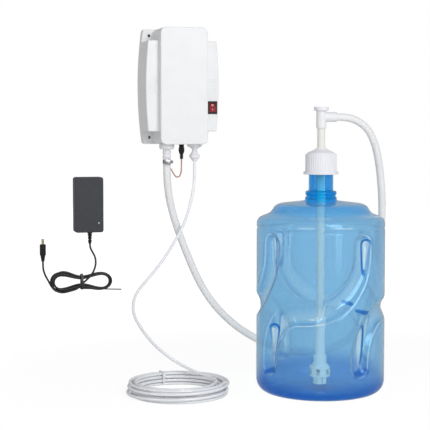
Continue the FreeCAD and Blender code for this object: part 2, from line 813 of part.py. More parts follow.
def make_outlet_fitting():
    foot = fitting_point(OUTLET_X)
    flange = OUTLET_FLANGE_HEIGHT
    neck = OUTLET_NECK_LENGTH
    points = [
        (0, 0), (FLANGE_R - 0.4, 0), (FLANGE_R - 0.4, -flange + 4), (OUTLET_NECK_R + 3, -flange),
        (OUTLET_NECK_R, -flange - 3), (OUTLET_NECK_R, -flange - neck), (0, -flange - neck),
    ]
    fitting = revolve_profile(points, foot)
    spigot = rod(PIPE_R - RUNNING, BOX_WALL, foot)
    bore = rod(2.2, BOX_WALL + flange + neck, foot + DOWN * (flange + neck))
    return fitting.fuse(spigot).removeSplitter().cut(bore)


def make_outlet_nut():
    """Bulbous nut that grips the delivery tube."""
    foot = V(BOX_X + OUTLET_X, WALL_Y - FITTING_T, NUT_LOW)
    points = [
        (0, 0), (TUBE_R + 1.6, 0), (NUT_R - 3.0, 5.5), (NUT_R - 0.4, 7.6), (NUT_R, 9.0),
        (NUT_R, 12.5), (NUT_R - 0.6, 14.0), (NUT_R - 3.4, 16.4), (OUTLET_NECK_R + 0.8, NUT_HEIGHT),
        (0, NUT_HEIGHT),
    ]
    nut = revolve_profile(points, foot)
    flute = rod(1.1, 7.0, foot + V(NUT_R + 0.45, 0, 7.0))
    nut = cut_all(nut, around(flute, NUT_FLUTES, foot))
    return nut.cut(rod(2.2, NUT_HEIGHT, foot))


def make_clamp_band():
    inner = HOSE_R
    foot = V(BOX_X + INLET_X, WALL_Y - FITTING_T, HOSE_TOP - CLAMP_DROP - CLAMP_HEIGHT)
    band = ring(inner + CLAMP_WALL, inner, CLAMP_HEIGHT, foot)
    seat = block(-6.5, 6.5, -inner - 5.4, -inner - 0.4, 0, CLAMP_HEIGHT)
    seat.translate(foot)
    seat = seat.cut(rod(inner, CLAMP_HEIGHT, foot))
    screw_axis = foot + V(-8, -inner - 3.1, CLAMP_HEIGHT / 2)
    return band.fuse(seat).removeSplitter().cut(rod(1.9, 16, screw_axis, RIGHT))


def make_clamp_screw():
    start = fitting_point(INLET_X - 8.0)
    start.y -= HOSE_R + 3.1
    start.z = HOSE_TOP - CLAMP_DROP - CLAMP_HEIGHT / 2
    shank = rod(1.9, 15.5, start, RIGHT)
    head = rod(3.3, 3.2, start + RIGHT * 15.5, RIGHT)
    slot = block(17.2, 19.0, -3.5, 3.5, -0.5, 0.5)
    slot.translate(start)
    return shank.fuse(head).removeSplitter().cut(slot)


def make_float_plug():
    """Black plug in the float socket, with a ribbed strain relief under it."""
    foot = fitting_point(FLOAT_PLUG_X)
    relief_low = -PLUG_LENGTH - LEAD_RELIEF_LENGTH
    points = [
        (0, BOX_WALL), (PLUG_R - 1.6, BOX_WALL), (PLUG_R - 1.6, 0), (PLUG_R, 0), (PLUG_R, -4.0),
        (PLUG_R - 0.6, -5.2), (PLUG_R + 0.7, -8.0), (PLUG_R + 0.7, -14.5),
        (LEAD_RELIEF_R + 0.4, -PLUG_LENGTH),
    ]
    ribs = 4
    step = LEAD_RELIEF_LENGTH / ribs
    for i in range(ribs):
        top = -PLUG_LENGTH - i * step
        radius = LEAD_RELIEF_R - 0.15 * i
        points += [(LEAD_RELIEF_R - 0.9, top - 0.2), (LEAD_RELIEF_R - 0.9, top - 0.9)]
        points += [(radius, top - 1.1), (radius, top - step + 0.1)]
    points += [(LEAD_RELIEF_R - 0.9, relief_low), (0, relief_low)]
    return revolve_profile(points, foot)


# Pump and motor
def pump_point(z, x=0.0):
    return box_point(x, PUMP_T, z)


DRIVE_LOW = MOTOR_BOTTOM - DRIVE_HEIGHT
DIAPHRAGM_LOW = DRIVE_LOW - DIAPHRAGM_HEIGHT
VALVE_LOW = DIAPHRAGM_LOW - VALVE_PLATE_HEIGHT
HEAD_LOW = VALVE_LOW - HEAD_HEIGHT
MOTOR_TOP = MOTOR_BOTTOM + MOTOR_LENGTH
LOW_BEARING = MOTOR_BOTTOM - DRIVE_WALL - BEARING_HEIGHT
HIGH_BEARING = MOTOR_TOP + 1.5
CAM_LOW = LOW_BEARING - 1.0 - CAM_HEIGHT


def make_motor_can():
    outer = rod(MOTOR_R, MOTOR_LENGTH, pump_point(MOTOR_BOTTOM))
    outer = outer.makeFillet(3.0, rims_at(outer, BOX_Z + MOTOR_BOTTOM))
    inner = rod(MOTOR_R - MOTOR_WALL, MOTOR_LENGTH - MOTOR_WALL, pump_point(MOTOR_BOTTOM + MOTOR_WALL))
    return outer.cut(inner).cut(rod(BEARING_R, MOTOR_WALL, pump_point(MOTOR_BOTTOM)))


def make_magnets():
    shell = ring(MOTOR_R - MOTOR_WALL, ARMATURE_R + 1.0, ARMATURE_LENGTH, pump_point(MOTOR_BOTTOM + 12))
    gap = block(-4, 4, -MOTOR_R, MOTOR_R, 0, ARMATURE_LENGTH)
    gap.translate(pump_point(MOTOR_BOTTOM + 12))
    return shell.cut(gap)


def make_end_bell():
    lid = rod(MOTOR_R, END_BELL_HEIGHT, pump_point(MOTOR_TOP))
    lid = lid.makeFillet(2.5, rims_at(lid, BOX_Z + MOTOR_TOP + END_BELL_HEIGHT))
    seat = rod(BEARING_R, HIGH_BEARING - MOTOR_TOP + BEARING_HEIGHT, pump_point(MOTOR_TOP))
    return lid.cut(seat).cut(rod(SHAFT_R + LOOSE, END_BELL_HEIGHT, pump_point(MOTOR_TOP)))


def make_rotor():
    """Armature, commutator and shaft, turned as one."""
    shaft_low = CAM_LOW - 1.0
    shaft = rod(SHAFT_R, HIGH_BEARING + BEARING_HEIGHT - shaft_low, pump_point(shaft_low))
    stack_low = MOTOR_BOTTOM + 12
    stack = rod(ARMATURE_R, ARMATURE_LENGTH, pump_point(stack_low))
    slot = block(ARMATURE_R - 6, ARMATURE_R + 1, -1.5, 1.5, -1, ARMATURE_LENGTH + 1)
    slot.translate(pump_point(stack_low))
    stack = cut_all(stack, around(slot, 7, pump_point(stack_low)))
    commutator = rod(8.0, 9.0, pump_point(stack_low + ARMATURE_LENGTH))
    return fuse_all([shaft, stack, commutator])


def make_bearings():
    low = ring(BEARING_R, SHAFT_R + RUNNING, BEARING_HEIGHT, pump_point(LOW_BEARING))
    high = ring(BEARING_R, SHAFT_R + RUNNING, BEARING_HEIGHT, pump_point(HIGH_BEARING))
    return Part.Compound([low, high])


def make_eccentric():
    cam = rod(CAM_R, CAM_HEIGHT, pump_point(CAM_LOW, CAM_THROW))
    weight = rod(CAM_R + 2, 2.0, pump_point(CAM_LOW + CAM_HEIGHT - 2.0, 0)).cut(
        block(BOX_X, BOX_X + 20, WALL_Y - 100, WALL_Y, BOX_Z, BOX_Z + BOX_HEIGHT))
    return cam.fuse(weight).removeSplitter().cut(rod(SHAFT_R, CAM_HEIGHT, pump_point(CAM_LOW)))


def make_drive_housing():
    """Cup between the motor and the pump head, with the lower bearing in its roof."""
    outer = rod(DRIVE_R, DRIVE_HEIGHT, pump_point(DRIVE_LOW))
    hollow = rod(DRIVE_R - DRIVE_WALL, DRIVE_HEIGHT - DRIVE_WALL, pump_point(DRIVE_LOW))
    hub = rod(BEARING_R + 2.5, BEARING_HEIGHT, pump_point(LOW_BEARING))
    housing = outer.cut(hollow).fuse(hub).removeSplitter()
    seat = rod(BEARING_R, DRIVE_WALL + BEARING_HEIGHT, pump_point(LOW_BEARING))
    return housing.cut(seat)


def make_wobble_plate():
    """Plate with three pistons' buttons, driven by the eccentric."""
    hub = ring(CAM_R + CAM_THROW + 6, CAM_R + CAM_THROW + 2.5, CAM_HEIGHT, pump_point(CAM_LOW))
    floor = rod(CAM_R + CAM_THROW + 6, 3.0, pump_point(CAM_LOW - 4.5))
    wall = ring(CAM_R + CAM_THROW + 6, CAM_R + CAM_THROW + 2.5, 4.5, pump_point(CAM_LOW - 4.5))
    arm = block(0, 21, -5, 5, 0, 3)
    button = rod(6.5, CAM_LOW - 4.5 - DRIVE_LOW, V(20, 0, DRIVE_LOW - CAM_LOW + 4.5))
    arm = arm.fuse(button)
    arm.translate(pump_point(CAM_LOW - 4.5))
    return fuse_all([hub, floor, wall] + around(arm, 3, pump_point(0)))


def make_diaphragm():
    disc = rod(DRIVE_R, DIAPHRAGM_HEIGHT, pump_point(DIAPHRAGM_LOW))
    groove = ring(8.6, 7.0, 1.2, pump_point(DRIVE_LOW - 1.2, 20))
    return cut_all(disc, around(groove, 3, pump_point(0)))


def head_block(low, height):
    return rounded_block(
        BOX_X - HEAD_WIDTH / 2, BOX_X + HEAD_WIDTH / 2,
        WALL_Y - PUMP_T - HEAD_DEPTH / 2, WALL_Y - PUMP_T + HEAD_DEPTH / 2,
        BOX_Z + low, BOX_Z + low + height, 6.0, UP,
    )


def make_valve_plate():
    plate = rod(DRIVE_R, VALVE_PLATE_HEIGHT, pump_point(VALVE_LOW))
    port = rod(4.0, VALVE_PLATE_HEIGHT, pump_point(VALVE_LOW, 20))
    ports = around(port, 6, pump_point(0))
    return cut_all(plate, ports)


def make_pump_head():
    """Square head with the two water ways, its ports down over the fittings."""
    head = head_block(HEAD_LOW, HEAD_HEIGHT)
    ways = []
    for x in (INLET_X, OUTLET_X):
        ways.append(rod(PIPE_BORE_R, 18.0, fitting_point(x, HEAD_LOW)))
        ways.append(rod(PIPE_R, 6.0, fitting_point(x, HEAD_LOW)))
    ways.append(rod(12.0, 10.0, pump_point(HEAD_LOW + HEAD_HEIGHT - 10)))
    return cut_all(head, ways)


def make_pipe(x):
    """Straight pipe from a fitting up into the pump head."""
    return ring(PIPE_R, PIPE_BORE_R, HEAD_LOW + 6 - BOX_WALL, fitting_point(x, BOX_WALL))


def make_pressure_switch():
    low = HEAD_LOW - PRESSURE_HEIGHT
    body = rod(PRESSURE_R, PRESSURE_HEIGHT, pump_point(low))
    tags = [block(-1, 1, -3, 3, 0, 7)]
    tags[0].translate(pump_point(low - 7, 4))
    tags.append(tags[0].copy())
    tags[1].translate(V(-8, 0, 0))
    return fuse_all([body] + tags)


def make_foot_plate():
    """Saddle that carries the pump on rubber mounts."""
    low = MOTOR_BOTTOM - FOOT_PLATE_HEIGHT
    plate = rounded_block(
        BOX_X - FOOT_PLATE_WIDTH / 2, BOX_X + FOOT_PLATE_WIDTH / 2,
        WALL_Y - FOOT_PLATE_T - FOOT_PLATE_THICK, WALL_Y - FOOT_PLATE_T,
        BOX_Z + low, BOX_Z + MOTOR_BOTTOM, 6.0, BACK,
    )
    saddle = block(
        BOX_X - SADDLE_WIDTH / 2, BOX_X + SADDLE_WIDTH / 2,
        WALL_Y - PUMP_T + DRIVE_R / 2, WALL_Y - FOOT_PLATE_T - FOOT_PLATE_THICK,
        BOX_Z + DRIVE_LOW + 3, BOX_Z + MOTOR_BOTTOM - 3,
    )
    saddle = saddle.cut(rod(DRIVE_R, BOX_HEIGHT, pump_point(0)))
    return plate.fuse(saddle).removeSplitter()


def make_rubber_mounts():
    length = FOOT_PLATE_T - BOX_WALL
    mounts = [rod(MOUNT_R, length, box_point(x, FOOT_PLATE_T, z), BACK) for x, z in mount_places()]
    return Part.Compound(mounts)


def make_circuit_board():
    """Board on its standoffs, with a relay, capacitors and terminal block."""
    board = block(
        BOX_X - BOARD_WIDTH / 2, BOX_X + BOARD_WIDTH / 2,
        WALL_Y - BOARD_T - BOARD_THICK, WALL_Y - BOARD_T,
        BOX_Z + BOARD_LOW, BOX_Z + BOARD_LOW + BOARD_HEIGHT,
    )
    face = BOARD_T + BOARD_THICK
    top = BOARD_LOW + BOARD_HEIGHT

    def part_on_board(x0, x1, z0, z1, stand):
        return block(BOX_X + x0, BOX_X + x1, WALL_Y - face - stand, WALL_Y - face, BOX_Z + z0, BOX_Z + z1)

    relay = part_on_board(-30, -11, top - 22, top - 6, 15)
    terminals = part_on_board(9, 32, top - 14, top - 4, 11)
    capacitor = rod(4.0, 14.0, box_point(2, face + 14, top - 14), BACK)
    chip = part_on_board(-8, 2, top - 34, top - 28, 1.8)
    return fuse_all([board, relay, terminals, capacitor, chip])


# Bottle
def arc_edge(a, b, c):
    return Part.Arc(V(a[0], 0, a[1]), V(b[0], 0, b[1]), V(c[0], 0, c[1])).toShape()


def line_edge(a, b):
    return Part.LineSegment(V(a[0], 0, a[1]), V(b[0], 0, b[1])).toShape()


def bottle_core(skin):
    """The bottle's turned body without its neck, drawn in by skin all over."""
    corner_r = FOOT_CORNER_R - skin
    floor = FOOT_RECESS + skin if skin else 0.0
    slant = math.sqrt(0.5)
    bend = (BODY_R - FOOT_CORNER_R + corner_r * slant, floor + corner_r * (1 - slant))
    radius = BODY_R - skin
    low = (BODY_R - FOOT_CORNER_R, floor)
    side = (radius, floor + corner_r)
    top = (radius, WALL_TOP - skin)
    waist = (WAIST_R - skin, WALL_TOP + 3)
    ledge = (radius, LEDGE_LOW + skin)
    ledge_top = (radius, LEDGE_HIGH - skin / 2)
    shoulder_bend = (SHOULDER_BEND[0] - skin, SHOULDER_BEND[1] - skin / 2)
    shoulder = (SHOULDER_R - skin / 2, SHOULDER_Z - skin)
    flare = (FLARE_R - skin / 2, FLARE_Z - skin)
    flare_bend = (FLARE_BEND[0] - skin / 2, FLARE_BEND[1] - skin / 2)
    flare_top = (FLARE_TOP_R - skin, FLARE_TOP_Z - skin / 2)
    dome_bend = (DOME_BEND[0] - skin, DOME_BEND[1] - skin)
    dome = (DOME_R - skin / 2, DOME_Z - skin)
    crown = (NECK_BEAD_R, NECK_LOW - skin)
    edges = [
        line_edge((0, floor), low),
        arc_edge(low, bend, side),
        line_edge(side, top),
        line_edge(top, waist),
        line_edge(waist, ledge),
        line_edge(ledge, ledge_top),
        arc_edge(ledge_top, shoulder_bend, shoulder),
        line_edge(shoulder, flare),
        arc_edge(flare, flare_bend, flare_top),
        arc_edge(flare_top, dome_bend, dome),
        line_edge(dome, crown),
        line_edge(crown, (0, NECK_LOW - skin)),
        line_edge((0, NECK_LOW - skin), (0, floor)),
    ]
    return Part.Face(Part.Wire(edges)).revolve(V(0, 0, 0), UP, 360)


def grip_path(turn):
    """One S-shaped grip on the bottle's wall, as points just outside it."""
    reach = BODY_R - GRIP_DEPTH + GRIP_R
    points = []
    for angle, rise in GRIP_CURVE:
        around_z = math.radians(turn + angle)
        points.append(V(reach * math.cos(around_z), reach * math.sin(around_z), GRIP_Z + rise))
    return points


def grip_cutter(turn, skin):
    """A thick rod along the grip's curve, round at both ends."""
    points = grip_path(turn)
    radius = GRIP_R + skin
    pipe = cord_tube(points, radius, "grip")
    balls = [Part.makeSphere(radius, points[0]), Part.makeSphere(radius, points[-1])]
    return fuse_all([pipe] + balls)


def grip_turns():
    return [GRIP_TURN + 360.0 * i / GRIP_COUNT for i in range(GRIP_COUNT)]


def make_bottle():
    """Blow-moulded bottle: thin wall, drawn-in grips, neck with a double bead."""
    foot_channel = revolve_profile([
        (FOOT_PAD_R, 0), (FOOT_PAD_R + 6, FOOT_RECESS),
        (FOOT_RECESS_R - 6, FOOT_RECESS), (FOOT_RECESS_R, 0),
    ], V(0, 0, 0))
    outer = bottle_core(0).cut(foot_channel)
    outer = cut_all(outer, [grip_cutter(turn, 0) for turn in grip_turns()])
    inner = bottle_core(BOTTLE_WALL)
    inner = cut_all(inner, [grip_cutter(turn, BOTTLE_WALL) for turn in grip_turns()])
    bead = NECK_BEAD_R
    ring_top = NECK_LOW + NECK_RING_HEIGHT
    neck_profile = [
        (0, NECK_LOW - 6), (bead + 4, NECK_LOW - 0.5), (bead + 0.2, NECK_LOW + 1.5), (bead, NECK_LOW + 7),
        (bead - 2.5, NECK_LOW + 9.2), (bead - 2.5, NECK_LOW + 11.2), (bead - 0.3, NECK_LOW + 13.2),
        (bead - 0.3, ring_top - 2), (bead - 1.8, ring_top), (NECK_R + 0.8, ring_top),
        (NECK_R, ring_top + 3),
        (NECK_R, NECK_TOP - 16), (NECK_R + 1.8, NECK_TOP - 14), (NECK_R + 1.8, NECK_TOP - 3),
        (NECK_R + 0.8, NECK_TOP), (0, NECK_TOP),
    ]
    neck = revolve_profile(neck_profile, V(0, 0, 0))
    bore_low = NECK_LOW - 12
    bore = rod(NECK_R - NECK_WALL, NECK_TOP - bore_low, V(0, 0, bore_low))
    return fuse_all([outer, neck]).cut(inner).cut(bore)


# Bottle cap
def make_bottle_cap():
    """Ribbed cap over the neck, with a seat ring inside and a bore that runs on the wand."""
    tooth = []
    for i in range(2 * CAP_RIBS):
        radius = CAP_R + (CAP_RIB_STAND if i % 2 else 0)
        for edge_turn in (0.04, 0.46):
            angle = math.pi * (i + edge_turn * 2) / CAP_RIBS
            tooth.append(V(radius * math.cos(angle), radius * math.sin(angle), CAP_Z + CAP_FLANGE_HEIGHT))
    skirt_height = CAP_SHOULDER - CAP_Z - CAP_FLANGE_HEIGHT
    skirt = Part.Face(Part.makePolygon(tooth + [tooth[0]])).extrude(V(0, 0, skirt_height))
    flange = rod(CAP_FLANGE_R, CAP_FLANGE_HEIGHT, V(0, 0, CAP_Z))
    rim = [e for e in flange.Edges if e.Closed]
    flange = flange.makeFillet(1.2, rim)
    dome = revolve_profile([
        (0, 0), (CAP_DOME_R, 0), (CAP_DOME_R - 1.5, 3.0), (CAP_DOME_TOP_R + 3, 9.5),
        (CAP_DOME_TOP_R, CAP_TOP - CAP_SHOULDER), (0, CAP_TOP - CAP_SHOULDER),
    ], V(0, 0, CAP_SHOULDER))
    solid = fuse_all([skirt, flange, dome])
    seat = NECK_TOP + LOOSE - CAP_Z
    roof = CAP_SHOULDER - CAP_Z - 2.0
    hollow = revolve_profile([
        (0, 0), (CAP_R - CAP_WALL, 0), (CAP_R - CAP_WALL, seat), (NECK_R - NECK_WALL - 1.0, seat),
        (NECK_R - NECK_WALL - 1.0, roof), (0, roof),
    ], V(0, 0, CAP_Z))
    return solid.cut(hollow).cut(rod(WAND_R + RUNNING, CAP_TOP - CAP_Z, V(0, 0, CAP_Z)))


# Wand
def make_tee():
    """Tee on top of the wand, its arm out to the hose."""
    body = rod(TEE_R, TEE_TOP - TEE_LOW, V(0, 0, TEE_LOW))
    body = body.makeFillet(1.0, rims_at(body, TEE_LOW))
    arm = rod(ARM_R, ARM_END, V(0, 0, ARM_Z), RIGHT)
    end = [e for e in arm.Edges if e.Closed and abs(e.CenterOfMass.x - ARM_END) < 0.01]
    arm = arm.makeFillet(1.0, end)
    tee = fuse_all([body, arm])
    return cut_all(tee, [
        rod(WAND_R, WAND_TOP - TEE_LOW, V(0, 0, TEE_LOW)),
        rod(WAND_BORE_R, ARM_Z + ARM_BORE_R - WAND_TOP, V(0, 0, WAND_TOP)),
        rod(ARM_BORE_R, ARM_END, V(0, 0, ARM_Z), RIGHT),
    ])


def make_tee_cap():
    plug = rod(TEE_CAP_R, TEE_CAP_HEIGHT, V(0, 0, TEE_TOP))
    rims = [e for e in plug.Edges if e.Closed]
    plug = plug.makeFillet(1.0, rims)
    dish_low = TEE_TOP + TEE_CAP_HEIGHT - TEE_DISH_DEPTH
    dish = cone(TEE_DISH_R - 2.5, TEE_DISH_R, TEE_DISH_DEPTH, V(0, 0, dish_low))
    return plug.cut(dish)


def make_wand_tube():
    low = COLLAR_LOW + COLLAR_HEIGHT / 2
    return ring(WAND_R, WAND_BORE_R, WAND_TOP - low, V(0, 0, low))


def make_collar():
    """Joint between the wand tube and the probe, with a small latch on one side."""
    body = rod(COLLAR_R, COLLAR_HEIGHT, V(0, 0, COLLAR_LOW))
    body = body.makeFillet(1.0, [e for e in body.Edges if e.Closed])
    latch = block(-LATCH_REACH, 0, -2.5, 2.5, COLLAR_HEIGHT - 7, COLLAR_HEIGHT - 3)
    latch.translate(V(0, 0, COLLAR_LOW))
    middle = COLLAR_LOW + COLLAR_HEIGHT / 2
    return cut_all(fuse_all([body, latch]), [
        rod(WAND_R, COLLAR_HEIGHT, V(0, 0, middle)),
        rod(PROBE_R, middle - COLLAR_LOW, V(0, 0, COLLAR_LOW)),
    ])


def make_probe_tube():
    low = SLEEVE_LOW + SLEEVE_HEIGHT / 2
    return ring(PROBE_R, PROBE_BORE_R, COLLAR_LOW + COLLAR_HEIGHT / 2 - low, V(0, 0, low))


def make_sleeve():
    """Socket on the probe tube, with a flange over the float guard."""
    body = rod(SLEEVE_R, SLEEVE_HEIGHT, V(0, 0, SLEEVE_LOW))
    guard_top = GUARD_LOW + GUARD_HEIGHT
    flange = rod(SLEEVE_R + 2.5, SLEEVE_LOW - guard_top + 2, V(0, 0, guard_top))
    middle = SLEEVE_LOW + SLEEVE_HEIGHT / 2
    return cut_all(fuse_all([body, flange]), [
        rod(PROBE_R, SLEEVE_HEIGHT, V(0, 0, middle)),
        rod(STEM_R, SLEEVE_HEIGHT, V(0, 0, guard_top)),
    ])


def make_float_guard():
    """Windowed cup round the float."""
    cup = rod(GUARD_R, GUARD_HEIGHT, V(0, 0, GUARD_LOW))
    cup = cup.makeFillet(1.5, [e for e in cup.Edges if e.Closed])
    cup = cup.cut(rod(GUARD_R - GUARD_WALL, GUARD_HEIGHT - 2 * GUARD_WALL, V(0, 0, GUARD_LOW + GUARD_WALL)))
    cup = cup.cut(rod(STEM_R, GUARD_HEIGHT, V(0, 0, GUARD_LOW)))
    half = GUARD_WINDOW_WIDTH / 2
    window = block(GUARD_R - GUARD_WALL - 1, GUARD_R + 1, -half, half, 5, GUARD_HEIGHT - 5)
    window.translate(V(0, 0, GUARD_LOW))
    return cut_all(cup, around(window, GUARD_WINDOWS, V(0, 0, 0)))


def make_stem():
    """Hollow stem that the float runs on, with the reed switch inside."""
    low = STRAINER_LOW + 10
    stem = rod(STEM_R, SLEEVE_LOW + SLEEVE_HEIGHT / 2 - 2 - low, V(0, 0, low))
    return stem.cut(rod(3.0, SLEEVE_HEIGHT / 2 + 30, V(0, 0, low + 4)))


def make_float():
    foot = V(0, 0, GUARD_LOW + GUARD_WALL + LOOSE)
    puck = rod(FLOAT_R, FLOAT_HEIGHT, foot)
    puck = puck.makeFillet(1.5, [e for e in puck.Edges if e.Closed])
    return puck.cut(rod(STEM_R + RUNNING, FLOAT_HEIGHT, foot))


def make_strainer():
    """Slotted foot that lets water in near the bottle's floor."""
    height = GUARD_LOW - STRAINER_LOW
    tip = rod(STRAINER_R, height, V(0, 0, STRAINER_LOW))
    tip = tip.makeFillet(1.0, rims_at(tip, STRAINER_LOW))
    slot = block(STRAINER_R - 4, STRAINER_R + 1, -1.2, 1.2, 2.5, height - 3)
    slot.translate(V(0, 0, STRAINER_LOW))
    tip = cut_all(tip, around(slot, STRAINER_SLOTS, V(0, 0, 0)))
    return tip.cut(rod(STEM_R, height, V(0, 0, STRAINER_LOW + 10)))


# Power adapter
def adapter_block(inset, y0, y1):
    return rounded_block(
        ADAPTER_X - ADAPTER_WIDTH / 2 + inset, ADAPTER_X + ADAPTER_WIDTH / 2 - inset,
        y0, y1,
        ADAPTER_Z + inset, ADAPTER_Z + ADAPTER_HEIGHT - inset,
        ADAPTER_CORNER - inset, BACK,
    )


def adapter_cord_hole():
    return rod(CORD_HOLE_R, ADAPTER_WALL, V(ADAPTER_X + CORD_EXIT_X, CORD_Y, ADAPTER_Z))


def make_adapter_front():
    front = ADAPTER_SPLIT - ADAPTER_FRONT
    outer = adapter_block(0, front, ADAPTER_SPLIT)
    outer = outer.makeFillet(1.6, [e for e in outer.Edges if abs(e.CenterOfMass.y - front) < 0.01])
    shell = outer.cut(adapter_block(ADAPTER_WALL, front + ADAPTER_WALL, ADAPTER_SPLIT))
    lamp = rod(LAMP_R, ADAPTER_WALL, V(ADAPTER_X + LAMP_X, front, ADAPTER_Z + LAMP_Z), BACK)
    return shell.cut(lamp).cut(adapter_cord_hole())


def make_adapter_back():
    outer = adapter_block(0, ADAPTER_SPLIT, ADAPTER_Y)
    outer = outer.makeFillet(1.2, [e for e in outer.Edges if abs(e.CenterOfMass.y - ADAPTER_Y) < 0.01])
    shell = outer.cut(adapter_block(ADAPTER_WALL, ADAPTER_SPLIT, ADAPTER_Y - ADAPTER_WALL))
    return shell.cut(blade_blocks(ADAPTER_Y - ADAPTER_WALL, ADAPTER_Y))


def blade_blocks(y0, y1):
    blades = []
    for side in (-1, 1):
        x = ADAPTER_X + side * BLADE_GAP / 2
        z = ADAPTER_Z + ADAPTER_HEIGHT * 0.62
        half_x = BLADE_THICK / 2
        half_z = BLADE_WIDTH / 2
        blades.append(block(x - half_x, x + half_x, y0, y1, z - half_z, z + half_z))
    return Part.Compound(blades)


def make_adapter_blades():
    return blade_blocks(ADAPTER_Y - ADAPTER_WALL - 3, ADAPTER_Y + BLADE_LENGTH)


def make_adapter_lamp():
    front = ADAPTER_SPLIT - ADAPTER_FRONT
    return rod(LAMP_R, ADAPTER_WALL + 2, V(ADAPTER_X + LAMP_X, front - 0.3, ADAPTER_Z + LAMP_Z), BACK)


def make_adapter_relief():
    """Tapered strain relief with three ribs."""
    foot = V(ADAPTER_X + CORD_EXIT_X, CORD_Y, ADAPTER_Z)
    length = CORD_RELIEF_LENGTH
    points = [(0, ADAPTER_WALL), (CORD_HOLE_R, ADAPTER_WALL), (CORD_HOLE_R, 0)]
    points += [(CORD_RELIEF_R, 0), (CORD_RELIEF_R, -3)]
    ribs = 3
    for i in range(ribs):
        share = (i + 1) / (ribs + 1)
        radius = CORD_RELIEF_R + (CORD_RELIEF_TIP_R - CORD_RELIEF_R) * share
        top = -length * share
        points += [(radius - 1.1, top + 2.6), (radius - 1.1, top + 1.4)]
        points += [(radius, top + 1.2), (radius, top - 1.2)]
    points += [(CORD_RELIEF_TIP_R - 0.4, -length), (0, -length)]
    return revolve_profile(points, foot)


# Windings
def coil_place(turn):
    """A point on the delivery coil, from its top layer down to the floor."""
    climbed, spread = layer_and_inset(turn, COIL_LAYER_TURNS, COIL_LAYERS, COIL_PITCH)
    angle = math.radians(COIL_START_DEG) - 2 * math.pi * turn
    lead_in = COIL_LEAD_IN * max(0.0, 1 - turn) ** 2
    radius = COIL_INNER_R + spread - lead_in
    top = TUBE_R + COIL_STEP * (COIL_LAYERS - 1)
    z = top - COIL_STEP * climbed
    return V(COIL_X + radius * math.cos(angle), COIL_Y + radius * math.sin(angle), z)


def make_delivery_coil():
    turns = COIL_LAYERS * COIL_LAYER_TURNS
    least_gap(coil_place, turns, TUBE_R, "delivery coil")
    wire = wound_wire(coil_place, turns, 4, 2 * TUBE_R)
    start = coil_place(0) - way_at(coil_place, 0) * 2 * TUBE_R
    return sweep(wire, TUBE_R, start, way_at(coil_place, 0), "delivery coil")


def make_delivery_tube():
    end = coil_place(0) - way_at(coil_place, 0) * 2 * TUBE_R
    points = TUBE_ROUTE + [end - way_at(coil_place, 0) * 24.0, end]
    return cord_tube(points, TUBE_R, "delivery tube")


def make_coil_tie():
    """Clear strap round the upper layers of the coil."""
    inner_r = COIL_INNER_R - TUBE_R - LOOSE
    outer_r = COIL_INNER_R + COIL_LAYER_TURNS * COIL_PITCH + TUBE_R + LOOSE
    low = 2 * TUBE_R + (COIL_STEP - 2 * TUBE_R + TIE_THICK) / 2
    high = TUBE_R * 2 + COIL_STEP * (COIL_LAYERS - 1) + LOOSE
    half = TIE_WIDTH / 2
    thick = TIE_THICK
    outer = block(inner_r - thick, outer_r + thick, -half, half, low - thick, high + thick)
    strap = outer.cut(block(inner_r, outer_r, -half, half, low, high))
    knot = rounded_block(inner_r - 4.0, inner_r - thick / 2, -2.6, 2.6, high - 9.0, high - 3.0, 1.0, RIGHT)
    tie = fuse_all([strap, knot])
    tie.rotate(V(0, 0, 0), UP, TIE_DEG)
    tie.translate(V(COIL_X, COIL_Y, 0))
    return tie


def hank_place(turn):
    """A point on the hank: two runs joined by round ends, drawn in at the waist."""
    climbed, inset = layer_and_inset(turn, HANK_LAYER_TURNS, HANK_LAYERS, HANK_PITCH)
    radius = HANK_END_R - inset
    run = 2 * HANK_HALF_RUN
    bend = math.pi * radius
    along = ((HANK_START + turn) % 1.0) * 2 * (run + bend)
    if along < run or run + bend <= along < 2 * run + bend:
        lower = along < run
        x = HANK_HALF_RUN - along if lower else along - run - bend - HANK_HALF_RUN
        waist = HANK_WAIST * math.cos(math.pi * x / run) ** 2
        z = waist - radius if lower else radius - waist
    elif along < run + bend:
        angle = (along - run) / radius
        x = -HANK_HALF_RUN - radius * math.sin(angle)
        z = -radius * math.cos(angle)
    else:
        angle = (along - 2 * run - bend) / radius
        x = HANK_HALF_RUN + radius * math.sin(angle)
        z = radius * math.cos(angle)
    lead_in = HANK_LEAD_IN * max(0.0, 1 - turn / HANK_LEAD_TURN) ** 2
    y = CORD_Y - HANK_STEP * (HANK_LAYERS - 1) / 2 + HANK_STEP * climbed - lead_in
    return V(HANK_X + x, y, HANK_Z + z)


def make_dc_hank():
    turns = HANK_LAYERS * HANK_LAYER_TURNS
    least_gap(hank_place, turns, CORD_R, "hank")
    wire = wound_wire(hank_place, turns, 14, 2 * CORD_R)
    start = hank_place(0) - way_at(hank_place, 0) * 2 * CORD_R
    return sweep(wire, CORD_R, start, way_at(hank_place, 0), "hank")


def make_dc_cord():
    """Lead from the adapter's strain relief down across the hank's waist to its first loop."""
    way = way_at(hank_place, 0)
    end = hank_place(0) - way * 2 * CORD_R
    return cord_tube(DC_ROUTE + [end - way * 12.0, end], CORD_R, "adapter lead")


def make_plug_lead():
    """Short end of the lead from the hank's last loop up to the plug."""
    turns = HANK_LAYERS * HANK_LAYER_TURNS
    way = way_at(hank_place, turns)
    start = hank_place(turns) + way * 2 * CORD_R
    return cord_tube([start, start + way * 10.0] + PLUG_LEAD_ROUTE, CORD_R, "plug lead")


